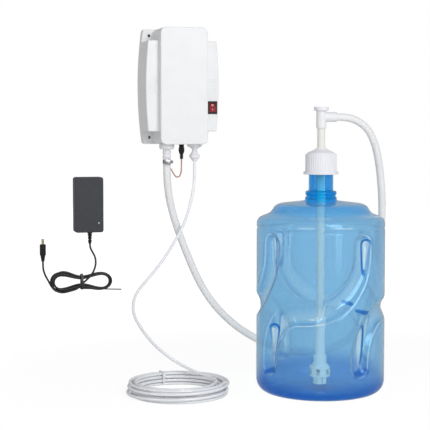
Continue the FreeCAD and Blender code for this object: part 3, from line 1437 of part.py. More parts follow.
def make_hank_tie():
    """Tie round the hank's waist and the lead in front of it, with one long loose end."""
    reach = HANK_END_R - HANK_WAIST + CORD_R + LOOSE
    depth = HANK_STEP * (HANK_LAYERS - 1) / 2 + CORD_R + LOOSE
    front = DC_ROUTE[-1].y - CORD_R - LOOSE - CORD_Y
    crossing = DC_ROUTE[-1].z - HANK_Z
    half = HANK_TIE_WIDTH / 2
    corners = [
        V(-half, depth, reach), V(-half, depth, -reach), V(-half, -depth, -reach),
        V(-half, front, crossing - 2.5 * CORD_R), V(-half, front, crossing + 2.5 * CORD_R),
        V(-half, -depth, reach),
    ]
    inner = Part.Face(Part.makePolygon(corners + [corners[0]]))
    outer = inner.makeOffset2D(HANK_TIE_THICK)
    length = V(HANK_TIE_WIDTH, 0, 0)
    band = outer.extrude(length).cut(inner.extrude(length))
    tail_y = -depth - HANK_TIE_THICK
    tail = block(0, HANK_TAIL, tail_y - 0.3, tail_y + 0.3, -half / 2, half / 2)
    tail.rotate(V(0, 0, 0), BACK, HANK_TAIL_DEG)
    tail.translate(V(0, 0, half / 2 - reach))
    tie = fuse_all([band, tail])
    tie.translate(V(HANK_X, CORD_Y, HANK_Z))
    return tie


def make_dc_plug():
    """Barrel plug on the end of the lead, its tail tapered down to the cord."""
    points = [
        (0, 0), (CORD_R + 1.0, 0), (CORD_R + 1.6, 3.0), (DC_PLUG_R - 1.4, DC_PLUG_TAIL - 2),
        (DC_PLUG_R, DC_PLUG_TAIL), (DC_PLUG_R, DC_PLUG_TAIL + DC_PLUG_LENGTH - 1),
        (DC_PLUG_R - 1, DC_PLUG_TAIL + DC_PLUG_LENGTH), (0, DC_PLUG_TAIL + DC_PLUG_LENGTH),
    ]
    plug = revolve_profile(points, PLUG_LEAD_ROUTE[-1])
    grip = block(-DC_PLUG_R - 1, DC_PLUG_R + 1, -0.5, 0.5, 0, 1.0)
    grips = []
    for i in range(4):
        for side in (-1, 1):
            cut = grip.copy()
            cut.translate(PLUG_LEAD_ROUTE[-1] + V(0, side * (DC_PLUG_R + 0.1), DC_PLUG_TAIL + 4 + 3 * i))
            grips.append(cut)
    return cut_all(plug, grips)


def make_dc_barrel():
    foot = PLUG_LEAD_ROUTE[-1] + UP * (DC_PLUG_TAIL + DC_PLUG_LENGTH)
    return ring(DC_BARREL_R, DC_BARREL_BORE_R, DC_BARREL_LENGTH, foot)


def save(name, shape):
    shape.exportStep("parts/" + name + ".step")
    box = shape.BoundBox
    print(
        name, shape.isValid(), len(shape.Solids), round(shape.Volume),
        [round(v, 1) for v in (box.XMin, box.XMax, box.YMin, box.YMax, box.ZMin, box.ZMax)],
    )


os.makedirs("parts", exist_ok=True)

save("rear_base", make_rear_base())
save("front_cover", make_front_cover())
save("left_pod", make_pod(-1))
save("right_pod", make_pod(1))
save("cover_screws", make_cover_screws())
save("switch_housing", make_switch_housing())
save("switch_rocker", make_rocker())
save("power_socket", make_socket(box_point(DC_SOCKET_X, DC_SOCKET_T, 0), DC_SOCKET_BORE_R))
save("float_socket", make_socket(fitting_point(FLOAT_PLUG_X), PLUG_R - 1.6))
save("inlet_fitting", make_inlet_fitting())
save("outlet_fitting", make_outlet_fitting())
save("outlet_nut", make_outlet_nut())
save("clamp_band", make_clamp_band())
save("clamp_screw", make_clamp_screw())
save("float_plug", make_float_plug())

save("motor_can", make_motor_can())
save("motor_magnets", make_magnets())
save("motor_end_bell", make_end_bell())
save("motor_rotor", make_rotor())
save("motor_bearings", make_bearings())
save("eccentric", make_eccentric())
save("drive_housing", make_drive_housing())
save("wobble_plate", make_wobble_plate())
save("diaphragm", make_diaphragm())
save("valve_plate", make_valve_plate())
save("pump_head", make_pump_head())
save("inlet_pipe", make_pipe(INLET_X))
save("outlet_pipe", make_pipe(OUTLET_X))
save("pressure_switch", make_pressure_switch())
save("foot_plate", make_foot_plate())
save("rubber_mounts", make_rubber_mounts())
save("circuit_board", make_circuit_board())

save("bottle", make_bottle())
save("bottle_cap", make_bottle_cap())
save("wand_tee", make_tee())
save("tee_cap", make_tee_cap())
save("wand_tube", make_wand_tube())
save("wand_collar", make_collar())
save("probe_tube", make_probe_tube())
save("probe_sleeve", make_sleeve())
save("float_guard", make_float_guard())
save("float_stem", make_stem())
save("float", make_float())
save("foot_strainer", make_strainer())

save("adapter_front", make_adapter_front())
save("adapter_back", make_adapter_back())
save("adapter_blades", make_adapter_blades())
save("adapter_lamp", make_adapter_lamp())
save("adapter_relief", make_adapter_relief())

save("suction_hose", cord_tube(HOSE_ROUTE, HOSE_R, "suction hose"))
save("delivery_tube", make_delivery_tube())
save("delivery_coil", make_delivery_coil())
save("float_lead", cord_tube(LEAD_ROUTE, LEAD_R, "float lead"))
save("coil_tie", make_coil_tie())
save("dc_cord", make_dc_cord())
save("dc_hank", make_dc_hank())
save("hank_tie", make_hank_tie())
save("dc_plug_lead", make_plug_lead())
save("dc_plug", make_dc_plug())
save("dc_plug_barrel", make_dc_barrel())
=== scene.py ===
# %% [markdown]
# A water pump box hangs on a wall and draws water from a large blue bottle through a white hose.
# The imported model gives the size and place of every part. This file gives each one its finish, and
# models again what needs a finer shape: the bottle, the hose clamp, the hoses and the leads.

# %% Load the model
import math
import bpy
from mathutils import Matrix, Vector


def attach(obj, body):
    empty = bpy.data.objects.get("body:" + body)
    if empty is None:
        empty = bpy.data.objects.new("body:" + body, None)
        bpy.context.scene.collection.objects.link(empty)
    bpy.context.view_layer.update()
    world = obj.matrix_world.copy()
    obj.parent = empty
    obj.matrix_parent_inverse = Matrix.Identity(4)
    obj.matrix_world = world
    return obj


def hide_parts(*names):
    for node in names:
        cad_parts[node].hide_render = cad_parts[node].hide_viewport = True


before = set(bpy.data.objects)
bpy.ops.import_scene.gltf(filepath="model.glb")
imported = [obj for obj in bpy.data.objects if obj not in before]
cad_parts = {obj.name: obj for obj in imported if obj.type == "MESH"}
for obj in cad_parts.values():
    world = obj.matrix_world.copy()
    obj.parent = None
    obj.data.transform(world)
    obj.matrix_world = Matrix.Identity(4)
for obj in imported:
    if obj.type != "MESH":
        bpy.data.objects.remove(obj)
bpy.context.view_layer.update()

# %% [markdown]
# Everything is measured in metres, and most of the object's sizes are known in millimetres.
# A small helper turns millimetres into metres, so the numbers below read like a drawing.
# Operators act on all that is selected, so a second helper clears the selection before each piece.

# %% Small helpers
def mm(*values):
    """Millimetres to metres: one number, or a point."""
    if len(values) == 1:
        return values[0] / 1000
    return Vector(values) / 1000


def clamped(value):
    """The value, kept between 0 and 1."""
    return max(0.0, min(1.0, value))


def clear_selection():
    if bpy.context.object and bpy.context.object.mode != "OBJECT":
        bpy.ops.object.mode_set(mode="OBJECT")
    bpy.ops.object.select_all(action="DESELECT")


def pick(piece):
    """Make one piece the only selected one, and the active one."""
    clear_selection()
    piece.select_set(True)
    bpy.context.view_layer.objects.active = piece


clear_selection()
print("helpers ready,", len(bpy.context.selected_objects), "selected")

# %% [markdown]
# A material is a web of small nodes. Each node could be added, set and linked in lines of its own,
# but a web of thirty nodes then hides what it does. With these helpers each node is one line that
# names its inputs: a number stays a fixed value, and the output of another node becomes a link.

# %% Helpers for materials
SMOOTH = "SMOOTHSTEP"


def bare_tree(owner):
    """The empty node tree of a world or a material."""
    owner.use_nodes = True
    owner.node_tree.nodes.clear()
    return owner.node_tree


def feed(tree, node, inputs):
    """Give each named input its value, or link it to the output that is given."""
    for socket, value in inputs.items():
        if isinstance(value, bpy.types.NodeSocket):
            tree.links.new(value, node.inputs[socket])
        else:
            node.inputs[socket].default_value = value


def put(tree, kind, inputs=None, **settings):
    """A new shader node, with its settings and its inputs."""
    node = tree.nodes.new("ShaderNode" + kind)
    for name, value in settings.items():
        setattr(node, name, value)
    feed(tree, node, inputs or {})
    return node


def maths(tree, operation, *values, clamp=False):
    return put(tree, "Math", dict(enumerate(values)), operation=operation, use_clamp=clamp).outputs[0]


def vector_maths(tree, operation, *values):
    node = put(tree, "VectorMath", dict(enumerate(values)), operation=operation)
    return node.outputs["Value" if operation in ("LENGTH", "DOT_PRODUCT") else "Vector"]


def ranged(tree, value, low, high, to_low=0.0, to_high=1.0, curve="LINEAR"):
    """Stretch the range from low to high over the range from to_low to to_high."""
    spans = {"Value": value, "From Min": low, "From Max": high, "To Min": to_low, "To Max": to_high}
    return put(tree, "MapRange", spans, interpolation_type=curve).outputs[0]


def mixed(tree, share, first, second):
    return put(tree, "Mix", {"Factor": share, "A": first, "B": second}, data_type="RGBA").outputs["Result"]


print("material helpers ready")

# %% [markdown]
# The photograph was taken from the left of the box, a little below its middle, with a long lens.
# A long lens keeps upright edges upright, and the camera only leans down by about four degrees.

# %% Camera
CAMERA_PLACE = Vector((-0.9348, -2.5055, 0.5646))
CAMERA_TURN = math.radians(15.685)
CAMERA_LEAN = math.radians(4.11)

camera_data = bpy.data.cameras.new("photo_camera")
camera_data.lens = 106.28
camera_data.sensor_width = 36
camera = bpy.data.objects.new("photo_camera", camera_data)
bpy.context.scene.collection.objects.link(camera)
camera.location = CAMERA_PLACE
camera.rotation_euler = (math.radians(90) - CAMERA_LEAN, 0, -CAMERA_TURN)
bpy.context.scene.camera = camera
print("camera lens", camera_data.lens)

# %% [markdown]
# The object stands on a white sweep. One large soft lamp in front, above and a little to the right
# gives each form a lit side and a shaded side, and an even white world fills the rest, as boards do
# in a studio. A narrow lamp at the left draws the bottle's edge, and a low one lights what faces
# down. The camera sees the world at plain white. Gloss sees it at half, so that black plastic stays
# black and steel shows some contrast.

# %% Light
BOARD_LIGHT = 0.40
SEEN_LIGHT = (("Is Camera Ray", 1.0), ("Is Transmission Ray", 0.84), ("Is Glossy Ray", 0.5))
LAMPS = (
    # name, place, aim, width, height, power
    ("key_lamp", (0.25, -2.65, 1.75), (-0.12, 0.05, 0.35), 1.3, 1.9, 46),
    ("rim_lamp", (-1.9, -0.5, 0.9), (-0.1, 0.05, 0.35), 0.16, 1.7, 3.2),
    ("low_card", (0.5, -2.6, 0.1), (0.0, 0.0, 0.2), 0.55, 1.3, 5),
)

scene = bpy.context.scene
scene.view_settings.view_transform = "Standard"
scene.world = bpy.data.worlds.new("studio")
sky = bare_tree(scene.world)
seen = put(sky, "LightPath").outputs
brightest = BOARD_LIGHT
for ray_kind, board_level in SEEN_LIGHT:
    scaled = maths(sky, "MULTIPLY", seen[ray_kind], board_level)
    brightest = maths(sky, "MAXIMUM", scaled, brightest)
boards = put(sky, "Background", {"Color": (1, 1, 1, 1), "Strength": brightest})
put(sky, "OutputWorld", {"Surface": boards.outputs[0]})

for name, place, aim, width, height, power in LAMPS:
    lamp_data = bpy.data.lights.new(name, "AREA")
    lamp_data.shape = "RECTANGLE"
    lamp_data.size = width
    lamp_data.size_y = height
    lamp_data.energy = power
    lamp = bpy.data.objects.new(name, lamp_data)
    scene.collection.objects.link(lamp)
    lamp.location = place
    lamp.rotation_euler = (Vector(place) - Vector(aim)).to_track_quat("Z", "Y").to_euler()
print("lamps", len(LAMPS))

# %% [markdown]
# The floor is a wide disc. Its material lets the camera see it as white, and mixes in some of the
# real light that falls on it, so that the object keeps a soft shadow under it. Farther out the
# white takes over, so that no edge shows between the floor and the white behind it. In mirrored
# light the floor is grey, or the underside of every glossy piece would look washed out.

# %% Floor
clear_selection()
bpy.ops.mesh.primitive_circle_add(vertices=96, radius=6, fill_type="NGON", location=(0, 0, 0))
floor = bpy.context.object
floor.name = "studio_floor"
floor_paint = bpy.data.materials.new("studio_floor")
paint = bare_tree(floor_paint)
seen = put(paint, "LightPath").outputs
from_middle = vector_maths(paint, "LENGTH", put(paint, "TexCoord").outputs["Object"])
outward = ranged(paint, from_middle, 0.5, 1.6, 0.78, 1.0, SMOOTH)
looked_at = maths(paint, "MAXIMUM", seen["Is Camera Ray"], seen["Is Transmission Ray"])
glow_level = ranged(paint, seen["Is Transmission Ray"], 0.0, 1.0, 1.1, 0.88)
matt = put(paint, "BsdfDiffuse", {"Color": (0.93, 0.93, 0.93, 1)})
glow = put(paint, "Emission", {"Strength": glow_level})
white_share = maths(paint, "MULTIPLY", looked_at, outward)
white = put(paint, "MixShader", {0: white_share, 1: matt.outputs[0], 2: glow.outputs[0]})
mirrored = maths(paint, "SUBTRACT", seen["Is Glossy Ray"], seen["Is Transmission Ray"], clamp=True)
grey = put(paint, "Emission", {"Strength": 0.5})
floor_mix = put(paint, "MixShader", {0: mirrored, 1: white.outputs[0], 2: grey.outputs[0]})
put(paint, "OutputMaterial", {"Surface": floor_mix.outputs[0]})
floor.data.materials.append(floor_paint)
print("floor", floor.name)

# %% [markdown]
# Moulded plastic is never one flat colour. Two effects are shared by many finishes, so each is a
# node group with named inputs: a slow drift between two near colours, and a fine moulded grain.

# %% Shared effect: tone drift
def new_group(name, inputs, outputs):
    """A node group: the group, the outputs of its entry and the inputs of its exit."""
    group = bpy.data.node_groups.new(name, "ShaderNodeTree")
    for kind, label, value in inputs:
        socket = group.interface.new_socket(label, in_out="INPUT", socket_type="NodeSocket" + kind)
        socket.default_value = value
    for kind, label in outputs:
        group.interface.new_socket(label, in_out="OUTPUT", socket_type="NodeSocket" + kind)
    return group, group.nodes.new("NodeGroupInput").outputs, group.nodes.new("NodeGroupOutput").inputs


tone_drift, entry, leave = new_group(
    "tone_drift",
    [
        ("Color", "Main", (0.8, 0.8, 0.8, 1)),
        ("Color", "Drift", (0.7, 0.7, 0.7, 1)),
        ("Float", "Scale", 30.0),
        ("Float", "Share", 0.5),
    ],
    [("Color", "Color"), ("Float", "Cloud")],
)
place = put(tone_drift, "TexCoord").outputs["Object"]
cloud = put(tone_drift, "TexNoise", {"Vector": place, "Scale": entry["Scale"], "Detail": 4})
spread = ranged(tone_drift, cloud.outputs["Fac"], 0.35, 0.65)
share = maths(tone_drift, "MULTIPLY", spread, entry["Share"])
tone_drift.links.new(mixed(tone_drift, share, entry["Main"], entry["Drift"]), leave["Color"])
tone_drift.links.new(spread, leave["Cloud"])
print("group", tone_drift.name)

# %% Shared effect: moulded grain
moulded_grain, entry, leave = new_group(
    "moulded_grain",
    [("Float", "Scale", 900.0), ("Float", "Ripple", 0.3)],
    [("Float", "Height")],
)
place = put(moulded_grain, "TexCoord").outputs["Object"]
fine = put(moulded_grain, "TexVoronoi", {"Vector": place, "Scale": entry["Scale"]}, feature="SMOOTH_F1")
slow = put(moulded_grain, "TexNoise", {"Vector": place, "Scale": 25})
grain_height = maths(moulded_grain, "MULTIPLY_ADD", slow.outputs["Fac"], entry["Ripple"],
                     fine.outputs["Distance"])
moulded_grain.links.new(grain_height, leave["Height"])
print("group", moulded_grain.name)

# %% [markdown]
# One recipe makes every solid finish: a main tone that drifts to a second one, a roughness that
# follows the same cloud, and a bump from the grain. What changes from finish to finish is written
# in its own call, so the differences between satin white, rubber and steel stay easy to compare.

# %% The recipe for a solid finish
ROUGH_SWING = 0.08
GRAIN_DEPTH = mm(0.3)


def solid_finish(name, main, drift, rough, grain_scale=900.0, bump=0.05, metal=0.0, coat=0.0,
                 drift_scale=30.0, ripple=0.3, specular=0.5):
    material = bpy.data.materials.new(name)
    material.use_nodes = True
    tree = material.node_tree
    tones = put(tree, "Group", {
        "Main": (*main, 1), "Drift": (*drift, 1), "Scale": drift_scale, "Share": 0.5,
    }, node_tree=tone_drift)
    grain = put(tree, "Group", {"Scale": grain_scale, "Ripple": ripple}, node_tree=moulded_grain)
    relief = put(tree, "Bump", {
        "Strength": bump, "Distance": GRAIN_DEPTH, "Height": grain.outputs["Height"],
    })
    feed(tree, tree.nodes["Principled BSDF"], {
        "Base Color": tones.outputs["Color"],
        "Roughness": ranged(tree, tones.outputs["Cloud"], 0.0, 1.0, rough - ROUGH_SWING / 2,
                            rough + ROUGH_SWING / 2),
        "Normal": relief.outputs[0],
        "Metallic": metal,
        "Specular IOR Level": specular,
        "Coat Weight": coat,
    })
    return material


print("recipe ready")

# %% Finishes of the pump box and its fittings
BOX_WHITE = dict(main=(0.83, 0.84, 0.85), drift=(0.79, 0.80, 0.82), rough=0.42, grain_scale=700,
                 bump=0.16, ripple=0.5)
satin_white = solid_finish("satin_white", **BOX_WHITE)
fitting_white = solid_finish("fitting_white", (0.84, 0.84, 0.86), (0.78, 0.79, 0.82), 0.34, bump=0.05)
switch_black = solid_finish("switch_black", (0.008, 0.008, 0.009), (0.015, 0.015, 0.017), 0.38, bump=0.1,
                            specular=0.3)
rocker_red = solid_finish("rocker_red", (0.30, 0.003, 0.008), (0.24, 0.002, 0.006), 0.3, bump=0.03,
                          specular=0.25)
bright_steel = solid_finish("bright_steel", (0.40, 0.40, 0.42), (0.26, 0.26, 0.28), 0.26,
                            grain_scale=2200, bump=0.08, metal=1.0)
motor_steel = solid_finish("motor_steel", (0.36, 0.36, 0.38), (0.28, 0.28, 0.30), 0.4, bump=0.1, metal=1.0)
ferrite = solid_finish("ferrite", (0.05, 0.05, 0.055), (0.08, 0.08, 0.08), 0.75, bump=0.3)
cast_alloy = solid_finish("cast_alloy", (0.55, 0.55, 0.57), (0.42, 0.42, 0.44), 0.5, bump=0.25, metal=1.0)
pump_black = solid_finish("pump_black", (0.03, 0.03, 0.034), (0.05, 0.05, 0.055), 0.55, bump=0.2)
soft_rubber = solid_finish("soft_rubber", (0.02, 0.02, 0.02), (0.04, 0.04, 0.04), 0.8, bump=0.2)
board_green = solid_finish("board_green", (0.01, 0.11, 0.04), (0.02, 0.16, 0.06), 0.35, bump=0.1)
print("materials so far", len(bpy.data.materials))

# %% [markdown]
# Each ear has a bore for a wall screw, and the bore is dark with shade. The bores are part of the packed
# solid, so that shade is painted by place: the four bores mirror onto one, and what lies within
# three millimetres of its axis is painted black.

# %% Finish: white with painted shade in the bores
BOX_X, BOX_BOTTOM, BOX_HALF_HEIGHT = -278.5, 521.6, 121.6
BORE_MIDDLE = mm(BOX_X, 0, BOX_BOTTOM + BOX_HALF_HEIGHT)
BORE_AWAY = mm(58.0, 0, 107.5)
SHADE_TO, WHITE_FROM = mm(3.1), mm(3.4)
bored_white = solid_finish("bored_white", **BOX_WHITE)
tree = bored_white.node_tree
shader = tree.nodes["Principled BSDF"]
plain_white = shader.inputs["Base Color"].links[0].from_socket
from_box_middle = vector_maths(tree, "SUBTRACT", put(tree, "TexCoord").outputs["Object"], BORE_MIDDLE)
mirrored = vector_maths(tree, "ABSOLUTE", from_box_middle)
from_bore = vector_maths(tree, "SUBTRACT", mirrored, BORE_AWAY)
from_axis = vector_maths(tree, "LENGTH", vector_maths(tree, "MULTIPLY", from_bore, (1, 0, 1)))
# Painted shade: the walls of the bores turn near black.
bore_shade = ranged(tree, from_axis, WHITE_FROM, SHADE_TO)
feed(tree, shader, {"Base Color": mixed(tree, bore_shade, plain_white, (0.01, 0.01, 0.011, 1))})
print("finish", bored_white.name)

# %% Finishes of the wand, the leads and the adapter
cream_plastic = solid_finish("cream_plastic", (0.84, 0.83, 0.79), (0.78, 0.77, 0.73), 0.4, bump=0.08)
wand_white = solid_finish("wand_white", (0.93, 0.94, 0.95), (0.87, 0.89, 0.91), 0.4, bump=0.08)
cap_white = solid_finish("cap_white", (0.85, 0.85, 0.89), (0.79, 0.80, 0.85), 0.45, bump=0.1)
float_grey = solid_finish("float_grey", (0.66, 0.66, 0.69), (0.56, 0.56, 0.60), 0.7,
                          grain_scale=1500, bump=0.5)
hose_white = solid_finish("hose_white", (0.85, 0.85, 0.86), (0.78, 0.79, 0.81), 0.38, drift_scale=18,
                          grain_scale=260, bump=0.03)
tube_milky = solid_finish("tube_milky", (0.90, 0.91, 0.94), (0.82, 0.84, 0.89), 0.22, drift_scale=40,
                          grain_scale=320, bump=0.03, coat=0.4)
lead_copper = solid_finish("lead_copper", (0.50, 0.28, 0.20), (0.36, 0.20, 0.15), 0.45, bump=0.2)
cord_black = solid_finish("cord_black", (0.010, 0.010, 0.011), (0.022, 0.022, 0.024), 0.42, bump=0.15)
adapter_charcoal = solid_finish("adapter_charcoal", (0.024, 0.026, 0.034), (0.036, 0.038, 0.047), 0.5,
                                grain_scale=1300, bump=0.5)
lamp_lens = solid_finish("lamp_lens", (0.62, 0.72, 0.62), (0.45, 0.60, 0.48), 0.15, bump=0.02, coat=0.6)
plated = solid_finish("plated_contact", (0.58, 0.50, 0.32), (0.44, 0.38, 0.26), 0.24, metal=1.0, bump=0.05)
print("materials so far", len(bpy.data.materials))

# %% [markdown]
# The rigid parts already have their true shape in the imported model. Each gets its finish here.
# A list by finish shows at a glance what is made of what.

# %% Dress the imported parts
def dress(material, *names):
    for name in names:
        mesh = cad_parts[name].data
        mesh.materials.clear()
        mesh.materials.append(material)


dress(satin_white, "front_cover", "left_pod", "right_pod")
dress(bored_white, "rear_base")
dress(fitting_white, "inlet_fitting", "outlet_fitting", "outlet_nut", "wand_tee")
dress(switch_black, "switch_housing", "power_socket", "float_socket", "float_plug", "dc_plug",
      "adapter_relief")
dress(rocker_red, "switch_rocker")
dress(bright_steel, "cover_screws", "motor_bearings")
dress(motor_steel, "motor_can", "motor_end_bell", "motor_rotor", "eccentric")
dress(ferrite, "motor_magnets")
dress(cast_alloy, "drive_housing")
dress(pump_black, "wobble_plate", "valve_plate", "pump_head", "inlet_pipe", "outlet_pipe", "pressure_switch",
      "foot_plate")
dress(soft_rubber, "diaphragm", "rubber_mounts")
dress(board_green, "circuit_board")
dress(cream_plastic, "wand_tube")
dress(wand_white, "wand_collar", "probe_tube", "probe_sleeve", "float_guard", "foot_strainer", "float_stem")
dress(cap_white, "bottle_cap", "tee_cap")
dress(float_grey, "float")
dress(adapter_charcoal, "adapter_front", "adapter_back")
dress(lamp_lens, "adapter_lamp")
dress(plated, "adapter_blades", "dc_plug_barrel")
dress(tube_milky, "coil_tie")
dress(cord_black, "hank_tie")
print("dressed")

# %% [markdown]
# A worm-drive clamp holds the hose on the inlet. Its strap is a thin band with a row of slots that
# the screw's thread grips, and the screw turns in a small pressed housing. The band starts as an
# open cylinder that is cut into three rows, and every third face of the middle row is taken out.
# Solidify then gives the sheet its thickness. The housing is a bevelled block, and the screw's head
# a bevelled rod of six sides. Its slot is cut with a Boolean, the plainest way to sink a square slot
# into a solid.

# %% Helpers for small hard pieces
def bevel_all(width, segments):
    """Round every edge of the active piece."""
    bpy.ops.object.mode_set(mode="EDIT")
    bpy.ops.mesh.select_all(action="SELECT")
    bpy.ops.mesh.bevel(offset=mm(width), segments=segments)
    bpy.ops.object.mode_set(mode="OBJECT")


def block(size, place=(0, 0, 0)):
    """A block with its place and size in its mesh."""
    clear_selection()
    bpy.ops.mesh.primitive_cube_add(size=1, location=mm(*place))
    bpy.context.object.scale = mm(*size)
    bpy.ops.object.transform_apply(location=True, rotation=True, scale=True)
    return bpy.context.object


def lying_rod(sides, radius, length, place):
    """A rod along X, still turned as an object."""
    clear_selection()
    bpy.ops.mesh.primitive_cylinder_add(vertices=sides, radius=mm(radius), depth=mm(length),
                                        location=mm(*place), rotation=(0, math.radians(90), 0))
    return bpy.context.object


def take_out_faces(is_chosen):
    """Delete the faces of the active piece that the test picks."""
    bpy.ops.object.mode_set(mode="EDIT")
    bpy.ops.mesh.select_mode(type="FACE")
    bpy.ops.mesh.select_all(action="DESELECT")
    bpy.ops.object.mode_set(mode="OBJECT")
    for face in bpy.context.object.data.polygons:
        face.select = is_chosen(face)
    bpy.ops.object.mode_set(mode="EDIT")
    bpy.ops.mesh.delete(type="FACE")
    bpy.ops.object.mode_set(mode="OBJECT")


def apply_all_modifiers(piece):
    for modifier in list(piece.modifiers):
        bpy.ops.object.modifier_apply(modifier=modifier.name)


print("hard piece helpers ready")

# %% The hose clamp
CLAMP_MIDDLE = (-310, 95, 484.95)
STRAP_R, STRAP_WIDTH, STRAP_SHEET = 8.38, 8.5, 0.7
STRAP_COLUMNS, COLUMNS_A_SLOT = 72, 3
SLOT_HALF_LENGTH = 2.5
SCREW_Y = -11.1

clear_selection()
bpy.ops.mesh.primitive_cylinder_add(vertices=STRAP_COLUMNS, radius=mm(STRAP_R), depth=mm(STRAP_WIDTH),
                                    end_fill_type="NOTHING")
strap = bpy.context.object
strap.name = "clamp_strap"
for level in (-SLOT_HALF_LENGTH, SLOT_HALF_LENGTH):
    bpy.ops.object.mode_set(mode="EDIT")
    bpy.ops.mesh.select_all(action="SELECT")
    bpy.ops.mesh.bisect(plane_co=mm(0, 0, level), plane_no=(0, 0, 1))
    bpy.ops.object.mode_set(mode="OBJECT")


def is_slot(face):
    column = round(math.degrees(math.atan2(face.center.y, face.center.x)) * STRAP_COLUMNS / 360 - 0.5)
    return abs(face.center.z) < mm(SLOT_HALF_LENGTH) and column % COLUMNS_A_SLOT == 0


take_out_faces(is_slot)
sheet = strap.modifiers.new("sheet", "SOLIDIFY")
sheet.thickness = mm(STRAP_SHEET)
sheet.offset = 0
edges = strap.modifiers.new("edges", "BEVEL")
edges.width = mm(0.1)
edges.segments = 2
edges.limit_method = "ANGLE"
apply_all_modifiers(strap)

housing = block((12.6, 5.2, 9.6), (0, SCREW_Y, 0))
bevel_all(1.1, 3)

screw_head = lying_rod(6, 3.5, 3.4, (9.1, SCREW_Y, 0))
bevel_all(0.35, 2)
bpy.ops.object.transform_apply(location=True, rotation=True, scale=True)
slot_cutter = block((1.8, 8.0, 1.0), (10.6, SCREW_Y, 0))
pick(screw_head)
slotted = screw_head.modifiers.new("slot", "BOOLEAN")
slotted.object = slot_cutter
slotted.operation = "DIFFERENCE"
apply_all_modifiers(screw_head)
bpy.data.objects.remove(slot_cutter)

worm = lying_rod(32, 2.3, 15.0, (0.2, SCREW_Y, 0))
bevel_all(0.3, 2)

for piece, name in ((strap, "clamp_strap"), (housing, "clamp_housing"), (screw_head, "clamp_screw_head"),
                    (worm, "clamp_worm")):
    pick(piece)
    piece.name = name
    piece.location += mm(*CLAMP_MIDDLE)
    bpy.ops.object.transform_apply(location=True, rotation=True, scale=True)
    bpy.ops.object.shade_smooth_by_angle(angle=math.radians(35))
    piece.data.materials.append(bright_steel)
    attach(piece, "pump_system")
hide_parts("clamp_band")
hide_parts("clamp_screw")
print("clamp strap faces", len(strap.data.polygons))

# %% [markdown]
# The rocker carries the two plain marks of a mains switch: a bar on the half that is pressed for on,
# and a ring on the other. On the real switch they are printed. Here each is a thin raised shape: a
# cube that is scaled and bevelled, and a torus that is pressed flat. Both ride with the rocker.

# %% The marks on the rocker
ROCKER_TURN = math.radians(24)
mark_white = solid_finish("mark_white", (0.80, 0.79, 0.77), (0.72, 0.71, 0.70), 0.5, bump=0.02)


def finish_mark(mark, name, place, lean):
    """Turn a mark to the face of the rocker, apply its place to its mesh and let it ride."""
    mark.name = name
    mark.rotation_euler = (lean, 0, 0)
    mark.location = place
    bpy.ops.object.transform_apply(location=True, rotation=True, scale=True)
    bpy.ops.object.shade_smooth_by_angle(angle=math.radians(40))
    mark.data.materials.append(mark_white)
    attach(mark, "rocker")


on_bar = block((0.8, 0.24, 3.6))
bevel_all(0.08, 2)
finish_mark(on_bar, "mark_on", mm(-214.2, 78.56, 594.4), 0.0)

clear_selection()
bpy.ops.mesh.primitive_torus_add(major_segments=40, minor_segments=8, major_radius=mm(1.9),
                                 minor_radius=mm(0.42))
off_ring = bpy.context.object
off_ring.scale = (1, 1, 0.3)
bpy.ops.object.transform_apply(location=True, rotation=True, scale=True)
finish_mark(off_ring, "mark_off", mm(-214.2, 80.54, 603.80), math.radians(90) - ROCKER_TURN)
print("marks", on_bar.name, off_ring.name)

# %% [markdown]
# A hose or a lead is one long tube that bends gently. A curve with a round bevel is the natural way
# to make it: a few points set its route, and the NURBS spline rounds every corner by itself.
# The order is set after the points are added, because a new spline only has room for straight runs.

# %% The helper for a cord
def cord_curve(name, points, radius, material, smooth, sides):
    """A smooth tube along a route, with smooth steps between points, and sides for its roundness."""
    curve = bpy.data.curves.new(name, "CURVE")
    curve.dimensions = "3D"
    curve.bevel_depth = mm(radius)
    curve.bevel_resolution = sides
    curve.resolution_u = smooth
    curve.use_fill_caps = True
    spline = curve.splines.new("NURBS")
    spline.points.add(len(points) - 1)
    for knot, point in zip(spline.points, points):
        knot.co = (*mm(*point), 1)
    spline.order_u = 3
    spline.use_endpoint_u = True
    curve.materials.append(material)
    cord = bpy.data.objects.new(name, curve)
    scene.collection.objects.link(cord)
    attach(cord, "pump_system")
    return cord


print("cord helper ready")

# %% [markdown]
# The white suction hose leaves the box's inlet, hangs down to the right, passes behind the bottle
# and climbs to the tee on top of the wand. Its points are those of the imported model's route.

# %% Suction hose
HOSE_ROUTE = [
    (-310, 95, 490.6), (-310, 95, 459), (-305.5, 99.5, 415), (-292.5, 108, 367), (-265, 120, 297),
    (-222, 133, 205), (-163, 148, 136), (-88, 166, 84), (-8, 178, 52), (72, 176, 47), (133, 153, 78),
    (161, 118, 145), (166, 84, 225), (160, 56, 305), (154, 33, 382), (144, 20, 450), (132.5, 12, 501),
    (119, 6, 535), (102, 2, 557.5), (79.5, 0.4, 572), (55.5, 0, 578.8), (33.5, 0, 578.8),
]
suction_hose = cord_curve("white_hose", HOSE_ROUTE, 7.95, hose_white, smooth=10, sides=6)
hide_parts("suction_hose")
print("hose points", len(HOSE_ROUTE))

# %% [markdown]
# The thin delivery tube leaves the nut, bows to the left and runs down into its own coil on the
# floor. The coil spirals out and in again in four layers. The same formula that the model uses
# gives the points of its turns, 24 to a turn.

